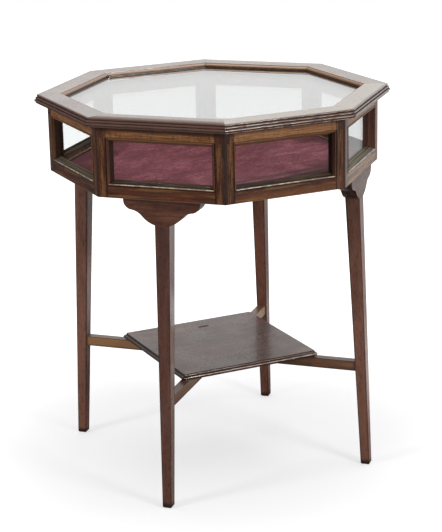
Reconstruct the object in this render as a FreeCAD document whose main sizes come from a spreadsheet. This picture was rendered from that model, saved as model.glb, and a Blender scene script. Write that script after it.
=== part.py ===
import FreeCAD, Part
import math
import os
from types import SimpleNamespace

import Sketcher
from FreeCAD import Placement, Rotation, Vector

# An octagonal glazed display table: a velvet-floored case of eight framed windows under a hinged glazed lid, on four
# tapered and splayed legs that a crossed stretcher and a square shelf tie together.
#
# Millimetres and degrees. Z is up, the floor is z = 0 and the table's axis is the Z axis. The legs stand under the
# middles of the front (-Y), right (+X), back (+Y) and left (-X) sides; the lid opens from the front.
#
# Every piece that repeats round the octagon is drawn once on the side that faces +X, in a section (across = distance
# from the axis, up = height) or in plan, and its body is then turned about Z to its own side.

# ---------------------------------------------------------------------------------------------------------------
# Driving sizes
# ---------------------------------------------------------------------------------------------------------------

DRIVING_SIZES = (
    # overall
    ("table_height", "716"),
    # lid: mitred rails with three stepped reeds outside and an ovolo inside
    ("lid_overhang", "22"),
    ("lid_thickness", "16"),
    ("lid_sight_inset", "11.35"),
    ("reed_radius", "2.25"),
    ("reed_step", "2.3"),
    ("ovolo_quirk", "0.9"),
    ("ovolo_radius", "6"),
    ("lid_lip_width", "2"),
    ("lid_lip_thickness", "1.1"),
    ("lid_rebate_width", "7"),
    ("lid_glass_thickness", "3"),
    ("lid_bead_round", "3"),
    # case: corner posts and rails round eight windows
    ("case_across", "569"),
    ("case_height", "128.7"),
    ("wall_thickness", "20"),
    ("post_face", "18.5"),
    ("post_arris_round", "0.8"),
    ("top_rail_height", "22"),
    ("bottom_rail_height", "22.2"),
    ("window_arris", "1.2"),
    ("rail_tenon_thickness", "6"),
    ("rail_tenon_length", "8"),
    ("rail_tenon_shoulder", "4"),
    # windows: a bevelled cock bead outside, the pane, a glazing bead inside
    ("cock_bead_nose", "2.6"),
    ("cock_bead_rise", "6"),
    ("cock_bead_depth", "12"),
    ("cock_bead_projection", "0.8"),
    ("pane_thickness", "2"),
    ("inner_bead_width", "4.5"),
    ("inner_bead_depth", "6"),
    # floor of the case
    ("base_board_thickness", "13"),
    ("tongue_thickness", "5"),
    ("tongue_length", "4"),
    ("velvet_thickness", "10"),
    ("velvet_edge_round", "3"),
    # hinges
    ("hinge_length", "50"),
    ("hinge_spacing", "130"),
    ("hinge_standoff", "3.2"),
    ("leaf_width", "17"),
    ("leaf_thickness", "1.5"),
    ("knuckle_radius", "3"),
    ("pin_radius", "1.2"),
    ("hinge_screw_pitch", "17"),
    ("hinge_screw_inset", "6"),
    ("hinge_screw_length", "11"),
    ("hinge_screw_head_radius", "2.6"),
    ("hinge_screw_shank_radius", "1.3"),
    # bracket blocks: a three-arc ogee outline
    ("bracket_width", "143"),
    ("bracket_height", "46.5"),
    ("bracket_thickness", "28.5"),
    ("bracket_inset", "0.3"),
    ("bracket_lobe_radius", "17"),
    ("bracket_lobe_drop", "2"),
    ("bracket_hollow_radius", "30"),
    ("bracket_belly_radius", "49"),
    # legs
    ("leg_top_width", "27.5"),
    ("leg_foot_width", "17"),
    ("leg_inset", "0.5"),
    ("leg_splay", "24.75"),
    ("foot_round", "3.5"),
    ("leg_arris_round", "0.8"),
    ("leg_tenon_width", "14"),
    ("leg_tenon_height", "28"),
    # stretcher
    ("stretcher_top", "207.5"),
    ("stretcher_depth", "19"),
    ("stretcher_width", "16"),
    ("stretcher_tenon_thickness", "8"),
    ("stretcher_tenon_length", "10"),
    ("stretcher_tenon_shoulder", "3.5"),
    # shelf: a clipped square with a hollow and an astragal round its edge
    ("shelf_width", "273"),
    ("shelf_thickness", "12"),
    ("shelf_corner_clip", "0.6"),
    ("shelf_fillet", "1"),
    ("shelf_hollow_radius", "3.5"),
    ("shelf_astragal_radius", "2.4"),
    ("shelf_under_step", "3"),
    # clearances
    ("joint_clearance", "0.1"),
    ("glass_clearance", "0.4"),
    ("mitre_gap", "0.1"),
    ("knuckle_clearance", "0.3"),
    ("pin_clearance", "0.05"),
    ("screw_clearance", "0.05"),
    ("velvet_clearance", "0.3"),
    ("saw_allowance", "5"),
)

doc = FreeCAD.newDocument("OctagonalDisplayTable")
sheet = doc.addObject("Spreadsheet::Sheet", "Sizes")
for row, (alias, number) in enumerate(DRIVING_SIZES, start=1):
    sheet.set(f"A{row}", number)
    sheet.setAlias(f"A{row}", alias)
doc.recompute()

# Each entry of S is the expression for one driving size, such as "Sizes.case_across".
S = SimpleNamespace(**{alias: f"Sizes.{alias}" for alias, number in DRIVING_SIZES})

REED_COUNT = 3
SIDES = {
    "front": -90,
    "front_right": -45,
    "right": 0,
    "back_right": 45,
    "back": 90,
    "back_left": 135,
    "left": 180,
    "front_left": -135,
}
POSTS = {
    "front_right": -67.5,
    "right_front": -22.5,
    "right_back": 22.5,
    "back_right": 67.5,
    "back_left": 112.5,
    "left_back": 157.5,
    "left_front": -157.5,
    "front_left": -112.5,
}
LEG_SIDES = ("front", "right", "back", "left")
HINGE_SIDE = "back"

# ---------------------------------------------------------------------------------------------------------------
# Places that several pieces share, as expressions of the driving sizes
# ---------------------------------------------------------------------------------------------------------------

CASE_FACE = f"({S.case_across} / 2)"
CASE_INSIDE = f"({CASE_FACE} - {S.wall_thickness})"
CASE_TOP = f"({S.table_height} - {S.lid_thickness})"
CASE_BOTTOM = f"({CASE_TOP} - {S.case_height})"
HALF_RAIL = f"({CASE_FACE} * tan(22.5) - {S.post_face})"
RAIL_LENGTH = f"(2 * {HALF_RAIL})"
WINDOW_SILL = f"({CASE_BOTTOM} + {S.bottom_rail_height})"
WINDOW_HEAD = f"({CASE_TOP} - {S.top_rail_height})"
PANE_FRONT = f"({CASE_FACE} - {S.cock_bead_depth})"
PANE_BACK = f"({PANE_FRONT} - {S.pane_thickness})"
BOARD_TOP = f"({CASE_BOTTOM} + {S.base_board_thickness})"
TONGUE_BOTTOM = f"({BOARD_TOP} - {S.tongue_thickness})"

LID_EDGE = f"({CASE_FACE} + {S.lid_overhang})"
REED_CENTRES = [
    (
        f"({LID_EDGE} - {S.reed_radius} - {REED_COUNT - 1 - reed} * {S.reed_step})",
        f"({S.table_height} - {2 * reed + 1} * {S.reed_radius})",
    )
    for reed in range(REED_COUNT)
]
LID_SIGHT = f"({CASE_INSIDE} - {S.lid_sight_inset})"
OVOLO_END = f"({LID_SIGHT} + {S.lid_lip_width})"
LID_INNER_ARRIS = f"({OVOLO_END} + {S.ovolo_radius})"
LID_REBATE = f"({LID_SIGHT} + {S.lid_rebate_width})"
OVOLO_TOP = f"({S.table_height} - {S.ovolo_quirk})"
LID_LIP_TOP = f"({OVOLO_TOP} - {S.ovolo_radius})"
LID_GLASS_TOP = f"({LID_LIP_TOP} - {S.lid_lip_thickness})"
LID_GLASS_BOTTOM = f"({LID_GLASS_TOP} - {S.lid_glass_thickness})"

HINGE_AXIS = f"({CASE_FACE} + {S.hinge_standoff})"
LEAF_TOE = f"({HINGE_AXIS} - {S.leaf_width})"
KNUCKLE_BORE = f"({S.pin_radius} + {S.pin_clearance})"
KNUCKLE_REACH = f"({S.knuckle_radius} + {S.knuckle_clearance})"
HINGE_CENTRE = f"({S.hinge_spacing} / 2)"

BRACKET_FACE = f"({CASE_FACE} - {S.bracket_inset})"
BRACKET_BOTTOM = f"({CASE_BOTTOM} - {S.bracket_height})"
LEG_TOP_CENTRE = f"({BRACKET_FACE} - {S.leg_inset} - {S.leg_top_width} / 2)"
FOOT_CENTRE = f"({LEG_TOP_CENTRE} + {S.leg_splay})"
LEG_BLANK_TOP = f"({BRACKET_BOTTOM} + {S.saw_allowance})"
STRETCHER_BOTTOM = f"({S.stretcher_top} - {S.stretcher_depth})"
STRETCHER_MIDDLE = f"({S.stretcher_top} - {S.stretcher_depth} / 2)"
SHELF_TOP = f"({S.stretcher_top} + {S.shelf_thickness})"
SHELF_SIDE = f"({S.shelf_width} / 2)"
SHELF_CLIP = f"({SHELF_SIDE} * sqrt(2) - {S.shelf_corner_clip})"


def leg_inner_face(height):
    """How far the sloping inner face of a leg is from the table's axis at a height."""
    foot = f"({FOOT_CENTRE} - {S.leg_foot_width} / 2)"
    top = f"({LEG_TOP_CENTRE} - {S.leg_top_width} / 2)"
    return f"({foot} + ({top} - {foot}) * {height} / {LEG_BLANK_TOP})"


# ---------------------------------------------------------------------------------------------------------------
# Drawing and feature helpers
# ---------------------------------------------------------------------------------------------------------------

ON_VERTICAL_AXIS = -2
ON_HORIZONTAL_AXIS = -1
START, END, CENTRE = 1, 2, 3


def number(expression):
    """The present value of an expression of the driving sizes."""
    return float(sheet.evalExpression(str(expression)))


def new_body(name, angle=0):
    """A body whose label is its piece's name, turned about the table's axis."""
    body = doc.addObject("PartDesign::Body", name)
    body.Label = name
    body.AllowCompound = True
    body.Placement = Placement(Vector(), Rotation(Vector(0, 0, 1), angle))
    return body


def origin_feature(body, role):
    """One of the body's own origin planes or axes."""
    return next(feature for feature in body.Origin.OriginFeatures if feature.Role == role)


def new_sketch(body, name, plane, offset):
    """An empty sketch on an origin plane, moved by offset along the plane's own two directions and its normal."""
    sketch = body.newObject("Sketcher::SketchObject", f"{body.Name}_{name}")
    sketch.AttachmentSupport = [(origin_feature(body, plane), "")]
    sketch.MapMode = "FlatFace"
    for direction, distance in offset.items():
        sketch.setExpression(f"AttachmentOffset.Base.{direction}", distance)
    return sketch


def hold(sketch, geometry, end, along, value):
    """Hold one coordinate of a sketch point at an expression, or on an axis where the value is 0."""
    if value == 0:
        axis = ON_VERTICAL_AXIS if along == "x" else ON_HORIZONTAL_AXIS
        sketch.addConstraint(Sketcher.Constraint("PointOnObject", geometry, end, axis))
        return
    kind = "DistanceX" if along == "x" else "DistanceY"
    index = sketch.addConstraint(Sketcher.Constraint(kind, geometry, end, number(value)))
    sketch.setExpression(f"Constraints[{index}]", str(value))


def draw_loop(sketch, corners):
    """A closed outline. A corner is (across, up); an arc leads to (across, up, centre across, centre up, turn),
    where turn is 1 for an anticlockwise arc and -1 for a clockwise one. The point where an arc ends is held only
    along the direction in which it slides round the arc, because the arc's centre and start fix the rest."""
    edges = []
    for start, end in zip(corners, corners[1:] + corners[:1]):
        first = Vector(number(start[0]), number(start[1]), 0)
        last = Vector(number(end[0]), number(end[1]), 0)
        if len(end) == 2:
            index = sketch.addGeometry(Part.LineSegment(first, last))
            edges.append((index, START, END))
            continue
        centre = Vector(number(end[2]), number(end[3]), 0)
        circle = Part.Circle(centre, Vector(0, 0, 1), first.distanceToPoint(centre))
        begin, finish = (first, last) if end[4] > 0 else (last, first)
        angles = [math.atan2(point.y - centre.y, point.x - centre.x) for point in (begin, finish)]
        if angles[1] <= angles[0]:
            angles[1] += 2 * math.pi
        index = sketch.addGeometry(Part.ArcOfCircle(circle, angles[0], angles[1]))
        edges.append((index, START, END) if end[4] > 0 else (index, END, START))
        hold(sketch, index, CENTRE, "x", end[2])
        hold(sketch, index, CENTRE, "y", end[3])
    for (edge, _, leaving), (following, arriving, _) in zip(edges, edges[1:] + edges[:1]):
        sketch.addConstraint(Sketcher.Constraint("Coincident", edge, leaving, following, arriving))
    for corner, (edge, starting, _) in zip(corners, edges):
        along = "xy"
        if len(corner) == 5:
            reach_x = abs(number(corner[0]) - number(corner[2]))
            reach_y = abs(number(corner[1]) - number(corner[3]))
            along = "x" if reach_x < reach_y else "y"
        for direction in along:
            hold(sketch, edge, starting, direction, corner[0] if direction == "x" else corner[1])


def draw(body, name, plane, loops, **offset):
    """A sketch made of closed outlines."""
    sketch = new_sketch(body, name, plane, offset)
    for corners in loops:
        draw_loop(sketch, corners)
    return sketch


def draw_circles(body, name, plane, circles, **offset):
    """A sketch made of circles, each (across, up, radius)."""
    sketch = new_sketch(body, name, plane, offset)
    for across, up, radius in circles:
        centre = Vector(number(across), number(up), 0)
        index = sketch.addGeometry(Part.Circle(centre, Vector(0, 0, 1), number(radius)))
        hold(sketch, index, CENTRE, "x", across)
        hold(sketch, index, CENTRE, "y", up)
        constraint = sketch.addConstraint(Sketcher.Constraint("Radius", index, number(radius)))
        sketch.setExpression(f"Constraints[{constraint}]", radius)
    return sketch


def rectangle(left, bottom, right, top):
    """The corners of an upright rectangle."""
    return [(left, bottom), (right, bottom), (right, top), (left, top)]


def extrude(kind, body, sketch, length, symmetric, reversed_way):
    """A pad, or a pocket, of a sketch; without a length a pocket goes right through."""
    feature = body.newObject(kind, f"{sketch.Name}_{kind.split('::')[1].lower()}")
    feature.Profile = sketch
    feature.SideType = "Symmetric" if symmetric else "One side"
    feature.Reversed = reversed_way
    if length is None:
        feature.Type = "ThroughAll"
    else:
        feature.setExpression("Length", length)
    return feature


def pad(body, sketch, length, symmetric=False, reversed_way=False):
    """Material along the sketch's normal."""
    return extrude("PartDesign::Pad", body, sketch, length, symmetric, reversed_way)


def pocket(body, sketch, length=None, symmetric=False, reversed_way=False):
    """A cut against the sketch's normal, or along it where reversed_way is set."""
    return extrude("PartDesign::Pocket", body, sketch, length, symmetric, reversed_way)


def turn_pattern(body, features, count):
    """Copies of features turned about the table's axis."""
    pattern = body.newObject("PartDesign::PolarPattern", f"{features[0].Name}_round")
    pattern.Originals = features
    pattern.Axis = (origin_feature(body, "Z_Axis"), [""])
    pattern.Angle = 360
    pattern.Occurrences = count
    body.Tip = pattern
    return pattern


def mirror(body, features, plane):
    """A mirror copy of features on the other side of an origin plane."""
    mirrored = body.newObject("PartDesign::Mirrored", f"{features[0].Name}_mirrored")
    mirrored.Originals = features
    mirrored.MirrorPlane = (origin_feature(body, plane), [""])
    body.Tip = mirrored
    return mirrored


def round_edges(body, feature, radius, wanted):
    """Round the edges of a feature that the function wanted picks."""
    doc.recompute()
    names = [f"Edge{index}" for index, edge in enumerate(feature.Shape.Edges, start=1) if wanted(edge)]
    fillet = body.newObject("PartDesign::Fillet", f"{feature.Name}_rounded")
    fillet.Base = (feature, names)
    fillet.setExpression("Radius", radius)
    return fillet


def is_upright(edge):
    """Whether an edge climbs rather than lies level."""
    return edge.BoundBox.ZLength > max(edge.BoundBox.XLength, edge.BoundBox.YLength)


def octagon(reach):
    """The plan of a regular octagon whose sides are at a distance from the axis."""
    angles = [22.5 + 45 * corner for corner in range(8)]
    return [(f"{reach} / cos(22.5) * cos({angle})", f"{reach} / cos(22.5) * sin({angle})") for angle in angles]


def mitre(body, name, inner, outer, gap="0"):
    """Cut both ends of a member on the radial planes where two sides of the octagon meet."""
    near = f"({inner} - {S.saw_allowance})"
    far = f"({outer} + {S.saw_allowance})"
    loops = []
    for hand in (1, -1):
        plane_near = f"({hand} * ({near} * tan(22.5) - {gap}))"
        plane_far = f"({hand} * ({far} * tan(22.5) - {gap}))"
        beyond = f"({hand} * ({far} * tan(22.5) + {S.saw_allowance}))"
        loops.append([(near, plane_near), (far, plane_far), (far, beyond), (near, beyond)])
    return pocket(body, draw(body, name, "XY_Plane", loops), symmetric=True)


def turn_hinge_screws(kind, body, pointing, clearance="0", access="0"):
    """Turn the three countersunk screws of one hinge leaf about their axes, as metal or, with a clearance, as their
    holes. pointing is 1 for screws driven upwards. A hole can start an access length before the screw's head."""
    head = f"({S.hinge_screw_head_radius} + {clearance})"
    shank = f"({S.hinge_screw_shank_radius} + {clearance})"
    neck = f"({pointing} * ({S.hinge_screw_head_radius} - {S.hinge_screw_shank_radius}))"
    taper = f"({pointing} * ({S.hinge_screw_length} - 2 * {S.hinge_screw_shank_radius}))"
    tip = f"({pointing} * ({S.hinge_screw_length} + {clearance}))"
    outline = [(head, 0), (shank, neck), (shank, taper), (0, tip)]
    if access == "0":
        outline.insert(0, (0, 0))
    else:
        start = f"({-pointing} * {access})"
        outline = [(0, start), (head, start), *outline]
    screws = []
    for place in (-1, 0, 1):
        across = f"({LEAF_TOE} + {S.hinge_screw_inset})"
        along = f"({HINGE_CENTRE} + {place} * {S.hinge_screw_pitch})"
        name = f"screw_{place + 2}"
        sketch = draw(body, name, "XZ_Plane", [outline], x=across, y=CASE_TOP, z=f"(-1 * {along})")
        screw = body.newObject(kind, f"{sketch.Name}_turned")
        screw.Profile = sketch
        screw.ReferenceAxis = (sketch, ["V_Axis"])
        screw.Angle = 360
        screws.append(screw)
    return screws


# ---------------------------------------------------------------------------------------------------------------
# Lid
# ---------------------------------------------------------------------------------------------------------------


def house_hinges(body, upwards, reach):
    """Cut the housings for the two hinge leaves into a rail, up into the lid or down into the case, with their screw
    holes, and in the lid the deeper housings for the knuckles."""
    hinge_start = f"({HINGE_CENTRE} - {S.hinge_length} / 2 - {S.joint_clearance})"
    hinge_end = f"({HINGE_CENTRE} + {S.hinge_length} / 2 + {S.joint_clearance})"
    toe = f"({LEAF_TOE} - {S.joint_clearance})"
    bed = rectangle(toe, hinge_start, reach, hinge_end)
    leaf = draw(body, "leaf_housing", "XY_Plane", [bed], z=CASE_TOP)
    cuts = [pocket(body, leaf, S.leaf_thickness, reversed_way=upwards)]
    if upwards:
        near = f"({HINGE_AXIS} - {KNUCKLE_REACH})"
        far = f"({HINGE_AXIS} + {KNUCKLE_REACH})"
        room = rectangle(near, hinge_start, far, hinge_end)
        barrel = draw(body, "knuckle_housing", "XY_Plane", [room], z=CASE_TOP)
        cuts.append(pocket(body, barrel, KNUCKLE_REACH, reversed_way=True))
    cuts += turn_hinge_screws("PartDesign::Groove", body, 1 if upwards else -1, S.screw_clearance)
    mirror(body, cuts, "XZ_Plane")


def lid_rail_section():
    """Round the section from the underside, up the rebate, the lip, the ovolo and down the three stepped reeds."""
    corners = [
        (LID_REBATE, CASE_TOP),
        (LID_REBATE, LID_GLASS_TOP),
        (LID_SIGHT, LID_GLASS_TOP),
        (LID_SIGHT, LID_LIP_TOP),
        (OVOLO_END, LID_LIP_TOP),
        (LID_INNER_ARRIS, OVOLO_TOP, LID_INNER_ARRIS, LID_LIP_TOP, -1),
        (LID_INNER_ARRIS, S.table_height),
    ]
    for across, up in REED_CENTRES:
        corners.append((across, f"({up} + {S.reed_radius})"))
        corners.append((across, f"({up} - {S.reed_radius})", across, up, -1))
    corners.append((REED_CENTRES[-1][0], CASE_TOP))
    return corners


def make_lid_rails():
    """Eight mitred members; the back one is housed for the hinges."""
    for side, angle in SIDES.items():
        body = new_body(f"lid_rail_{side}", angle)
        section = draw(body, "section", "XZ_Plane", [lid_rail_section()])
        pad(body, section, f"(2 * {LID_EDGE} * tan(22.5) + {S.saw_allowance})", symmetric=True)
        mitre(body, "mitres", LID_SIGHT, LID_EDGE)
        if side == HINGE_SIDE:
            house_hinges(body, True, HINGE_AXIS)


def make_lid_glass():
    """One octagonal sheet laid in the rebate from below."""
    body = new_body("lid_glass")
    reach = f"({LID_REBATE} - {S.glass_clearance})"
    plan = draw(body, "plan", "XY_Plane", [octagon(reach)], z=LID_GLASS_BOTTOM)
    pad(body, plan, S.lid_glass_thickness)


def make_lid_glazing_beads():
    """Eight mitred quarter-round strips that fill the rebate under the glass."""
    body = new_body("lid_glazing_beads")
    nose_across = f"({LID_SIGHT} + {S.lid_bead_round})"
    nose_up = f"({CASE_TOP} + {S.lid_bead_round})"
    corners = [
        (LID_REBATE, CASE_TOP),
        (LID_REBATE, LID_GLASS_BOTTOM),
        (LID_SIGHT, LID_GLASS_BOTTOM),
        (LID_SIGHT, nose_up),
        (nose_across, CASE_TOP, nose_across, nose_up, 1),
    ]
    section = draw(body, "section", "XZ_Plane", [corners])
    strip = pad(body, section, f"(2 * {LID_REBATE} * tan(22.5))", symmetric=True)
    cut = mitre(body, "mitres", LID_SIGHT, LID_REBATE, S.mitre_gap)
    turn_pattern(body, [strip, cut], 8)


# ---------------------------------------------------------------------------------------------------------------
# Case
# ---------------------------------------------------------------------------------------------------------------


def rail_tenon(body, low, high, length):
    """A tongue that runs through a rail and stands out of both ends."""
    middle = f"({CASE_FACE} - {S.wall_thickness} / 2)"
    near = f"({middle} - {S.rail_tenon_thickness} / 2)"
    far = f"({middle} + {S.rail_tenon_thickness} / 2)"
    section = draw(body, "tenon", "XZ_Plane", [rectangle(near, low, far, high)])
    return pad(body, section, length, symmetric=True)


TENON_SPAN = f"({RAIL_LENGTH} + 2 * {S.rail_tenon_length})"
TOP_TENON = (f"({WINDOW_HEAD} + {S.rail_tenon_shoulder})", f"({CASE_TOP} - {S.rail_tenon_shoulder})")
BOTTOM_TENON = (f"({CASE_BOTTOM} + {S.rail_tenon_shoulder})", f"({WINDOW_SILL} - {S.rail_tenon_shoulder})")


def make_top_rails():
    """Eight rails over the windows, tenoned into the posts; the back one is housed for the hinges."""
    for side, angle in SIDES.items():
        body = new_body(f"top_rail_{side}", angle)
        corners = [
            (CASE_INSIDE, WINDOW_HEAD),
            (f"({CASE_FACE} - {S.window_arris})", WINDOW_HEAD),
            (CASE_FACE, f"({WINDOW_HEAD} + {S.window_arris})"),
            (CASE_FACE, CASE_TOP),
            (CASE_INSIDE, CASE_TOP),
        ]
        pad(body, draw(body, "section", "XZ_Plane", [corners]), RAIL_LENGTH, symmetric=True)
        rail_tenon(body, *TOP_TENON, TENON_SPAN)
        if side == HINGE_SIDE:
            house_hinges(body, False, f"({CASE_FACE} + {S.saw_allowance})")


def make_bottom_rails():
    """Eight rails under the windows, grooved inside for the base board's tongue."""
    for side, angle in SIDES.items():
        body = new_body(f"bottom_rail_{side}", angle)
        groove_end = f"({CASE_INSIDE} + {S.tongue_length} + {S.joint_clearance})"
        groove_low = f"({TONGUE_BOTTOM} - {S.joint_clearance})"
        corners = [
            (CASE_INSIDE, CASE_BOTTOM),
            (CASE_FACE, CASE_BOTTOM),
            (CASE_FACE, f"({WINDOW_SILL} - {S.window_arris})"),
            (f"({CASE_FACE} - {S.window_arris})", WINDOW_SILL),
            (CASE_INSIDE, WINDOW_SILL),
            (CASE_INSIDE, f"({BOARD_TOP} + {S.joint_clearance})"),
            (groove_end, f"({BOARD_TOP} + {S.joint_clearance})"),
            (groove_end, groove_low),
            (CASE_INSIDE, groove_low),
        ]
        pad(body, draw(body, "section", "XZ_Plane", [corners]), RAIL_LENGTH, symmetric=True)
        rail_tenon(body, *BOTTOM_TENON, TENON_SPAN)


def corner_post_plan():
    """A five-sided bend: two outer faces, two cheeks square to them, and the two inner faces."""
    outer = f"({CASE_FACE} / cos(22.5))"
    cheek_across = f"({outer} - {S.post_face} * sin(22.5))"
    cheek_along = f"({S.post_face} * cos(22.5))"
    inner_across = f"({cheek_across} - {S.wall_thickness} * cos(22.5))"
    inner_along = f"({cheek_along} - {S.wall_thickness} * sin(22.5))"
    return [
        (outer, 0),
        (cheek_across, cheek_along),
        (inner_across, inner_along),
        (f"({CASE_INSIDE} / cos(22.5))", 0),
        (inner_across, f"(-1 * {inner_along})"),
        (cheek_across, f"(-1 * {cheek_along})"),
    ]


def beside_post(reach, along, hand):
    """A point in a post's plan given by its distance from the axis to a neighbouring side and along that side."""
    across = f"({reach} * cos(22.5) + {along} * sin(22.5))"
    return across, f"({hand} * ({reach} * sin(22.5) - {along} * cos(22.5)))"


def make_corner_posts():
    """Eight posts at the corners, mortised for the rails and with a small bevel beside each window."""
    for place, angle in POSTS.items():
        body = new_body(f"corner_post_{place}", angle)
        blank = pad(body, draw(body, "plan", "XY_Plane", [corner_post_plan()], z=CASE_BOTTOM), S.case_height)
        arris = number(f"{CASE_FACE} / cos(22.5) - {S.joint_clearance}")
        round_edges(body, blank, S.post_arris_round, lambda edge: is_upright(edge) and edge.BoundBox.XMin > arris)
        middle = f"({CASE_FACE} - {S.wall_thickness} / 2)"
        half_tenon = f"({S.rail_tenon_thickness} / 2 + {S.joint_clearance})"
        near, far = f"({middle} - {half_tenon})", f"({middle} + {half_tenon})"
        mouth = f"({HALF_RAIL} - {S.joint_clearance})"
        end = f"({HALF_RAIL} + {S.rail_tenon_length} + {S.joint_clearance})"
        for name, (low, high) in {"top_mortises": TOP_TENON, "bottom_mortises": BOTTOM_TENON}.items():
            loops = [
                [beside_post(*point, hand) for point in ((near, mouth), (far, mouth), (far, end), (near, end))]
                for hand in (1, -1)
            ]
            plan = draw(body, name, "XY_Plane", loops, z=f"({low} - {S.joint_clearance})")
            pocket(body, plan, f"({high} - {low} + 2 * {S.joint_clearance})", reversed_way=True)
        edge_in = f"({CASE_FACE} - {S.window_arris})"
        past = f"({CASE_FACE} + {S.window_arris})"
        short = f"({HALF_RAIL} - {S.window_arris})"
        slope_end = f"({HALF_RAIL} + 2 * {S.window_arris})"
        wedge = ((edge_in, HALF_RAIL), (edge_in, short), (past, short), (past, slope_end))
        arrises = [[beside_post(*point, hand) for point in wedge] for hand in (1, -1)]
        plan = draw(body, "window_arrises", "XY_Plane", arrises, z=WINDOW_SILL)
        pocket(body, plan, f"({WINDOW_HEAD} - {WINDOW_SILL})", reversed_way=True)


# ---------------------------------------------------------------------------------------------------------------
# Windows
# ---------------------------------------------------------------------------------------------------------------


def window_path(body, reach):
    """The outline of a window opening at a distance from the axis, starting halfway along the sill."""
    sketch = new_sketch(body, "path", "YZ_Plane", {"z": reach})
    corners = [
        (0, WINDOW_SILL),
        (HALF_RAIL, WINDOW_SILL),
        (HALF_RAIL, WINDOW_HEAD),
        (f"(-1 * {HALF_RAIL})", WINDOW_HEAD),
        (f"(-1 * {HALF_RAIL})", WINDOW_SILL),
    ]
    draw_loop(sketch, corners)
    return sketch


def beaded_windows(name, section, reach, width):
    """Four strips round each of the eight windows: a section taken round the opening, parted on its mitres."""
    body = new_body(name)
    frame = body.newObject("PartDesign::AdditivePipe", f"{name}_frame")
    frame.Profile = draw(body, "section", "XZ_Plane", [section])
    frame.Spine = window_path(body, reach)
    frame.Transition = "Right corner"
    half_gap = f"({S.mitre_gap} / 2)"
    loops = []
    for hand in (1, -1):
        for level, inwards in ((WINDOW_SILL, 1), (WINDOW_HEAD, -1)):
            outer = f"({HALF_RAIL} + {width})"
            inner = f"({HALF_RAIL} - 2 * {width})"
            loops.append(
                [
                    (f"({hand} * ({outer} + {half_gap}))", f"({level} - {inwards} * {width})"),
                    (f"({hand} * ({inner} + {half_gap}))", f"({level} + {inwards} * 2 * {width})"),
                    (f"({hand} * ({inner} - {half_gap}))", f"({level} + {inwards} * 2 * {width})"),
                    (f"({hand} * ({outer} - {half_gap}))", f"({level} - {inwards} * {width})"),
                ]
            )
    parting = pocket(body, draw(body, "mitres", "YZ_Plane", loops), symmetric=True)
    turn_pattern(body, [frame, parting], 8)


def make_cock_beads():
    """Thin strips planted inside each opening: a round nose just proud of the face, and a bevel up to the pane."""
    nose = f"({S.cock_bead_nose} / 2)"
    nose_centre = f"({CASE_FACE} + {S.cock_bead_projection} - {nose})"
    nose_top = f"({WINDOW_SILL} + {S.cock_bead_nose})"
    section = [
        (PANE_FRONT, WINDOW_SILL),
        (nose_centre, WINDOW_SILL),
        (nose_centre, nose_top, nose_centre, f"({WINDOW_SILL} + {nose})", 1),
        (PANE_FRONT, f"({nose_top} + {S.cock_bead_rise})"),
    ]
    beaded_windows("window_cock_beads", section, CASE_FACE, f"({S.cock_bead_nose} + {S.cock_bead_rise})")


def make_inner_beads():
    """Square strips that hold the panes from inside, with a bevel towards the glass."""
    back = f"({PANE_BACK} - {S.inner_bead_depth})"
    top = f"({WINDOW_SILL} + {S.inner_bead_width})"
    bevel = f"({S.inner_bead_width} / 2)"
    section = [
        (back, WINDOW_SILL),
        (PANE_BACK, WINDOW_SILL),
        (PANE_BACK, top),
        (f"({back} + {bevel})", top),
        (back, f"({top} - {bevel})"),
    ]
    beaded_windows("window_glazing_beads", section, PANE_BACK, S.inner_bead_width)


def make_side_panes():
    """Eight sheets of glass, each between its cock bead and its inner beads."""
    body = new_body("side_glass_panes")
    low = f"({WINDOW_SILL} + {S.glass_clearance})"
    high = f"({WINDOW_HEAD} - {S.glass_clearance})"
    section = draw(body, "section", "XZ_Plane", [rectangle(PANE_BACK, low, PANE_FRONT, high)])
    pane = pad(body, section, f"({RAIL_LENGTH} - 2 * {S.glass_clearance})", symmetric=True)
    turn_pattern(body, [pane], 8)


# ---------------------------------------------------------------------------------------------------------------
# Floor of the case
# ---------------------------------------------------------------------------------------------------------------


def make_base_board():
    """An octagonal board inside the rails, with a tongue into each rail's groove."""
    body = new_body("base_board")
    reach = f"({CASE_INSIDE} - {S.joint_clearance})"
    plan = draw(body, "plan", "XY_Plane", [octagon(reach)], z=CASE_BOTTOM)
    pad(body, plan, S.base_board_thickness)
    tongue = rectangle(
        f"({reach} - {S.tongue_length})", TONGUE_BOTTOM, f"({CASE_INSIDE} + {S.tongue_length})", BOARD_TOP
    )
    strip = pad(body, draw(body, "tongue", "XZ_Plane", [tongue]), f"({RAIL_LENGTH} - 2 * {S.joint_clearance})", True)
    turn_pattern(body, [strip], 8)


def make_velvet_lining():
    """The padded velvet floor, laid on the base board."""
    body = new_body("velvet_lining")
    reach = f"({CASE_INSIDE} - {S.velvet_clearance})"
    plan = draw(body, "plan", "XY_Plane", [octagon(reach)], z=f"({BOARD_TOP} + {S.velvet_clearance})")
    cushion = pad(body, plan, S.velvet_thickness)
    near_top = number(f"{BOARD_TOP} + {S.velvet_thickness}")
    round_edges(body, cushion, S.velvet_edge_round, lambda edge: edge.BoundBox.ZMin > near_top)


# ---------------------------------------------------------------------------------------------------------------
# Hinges
# ---------------------------------------------------------------------------------------------------------------

KNUCKLE_COUNT = 5


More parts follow.
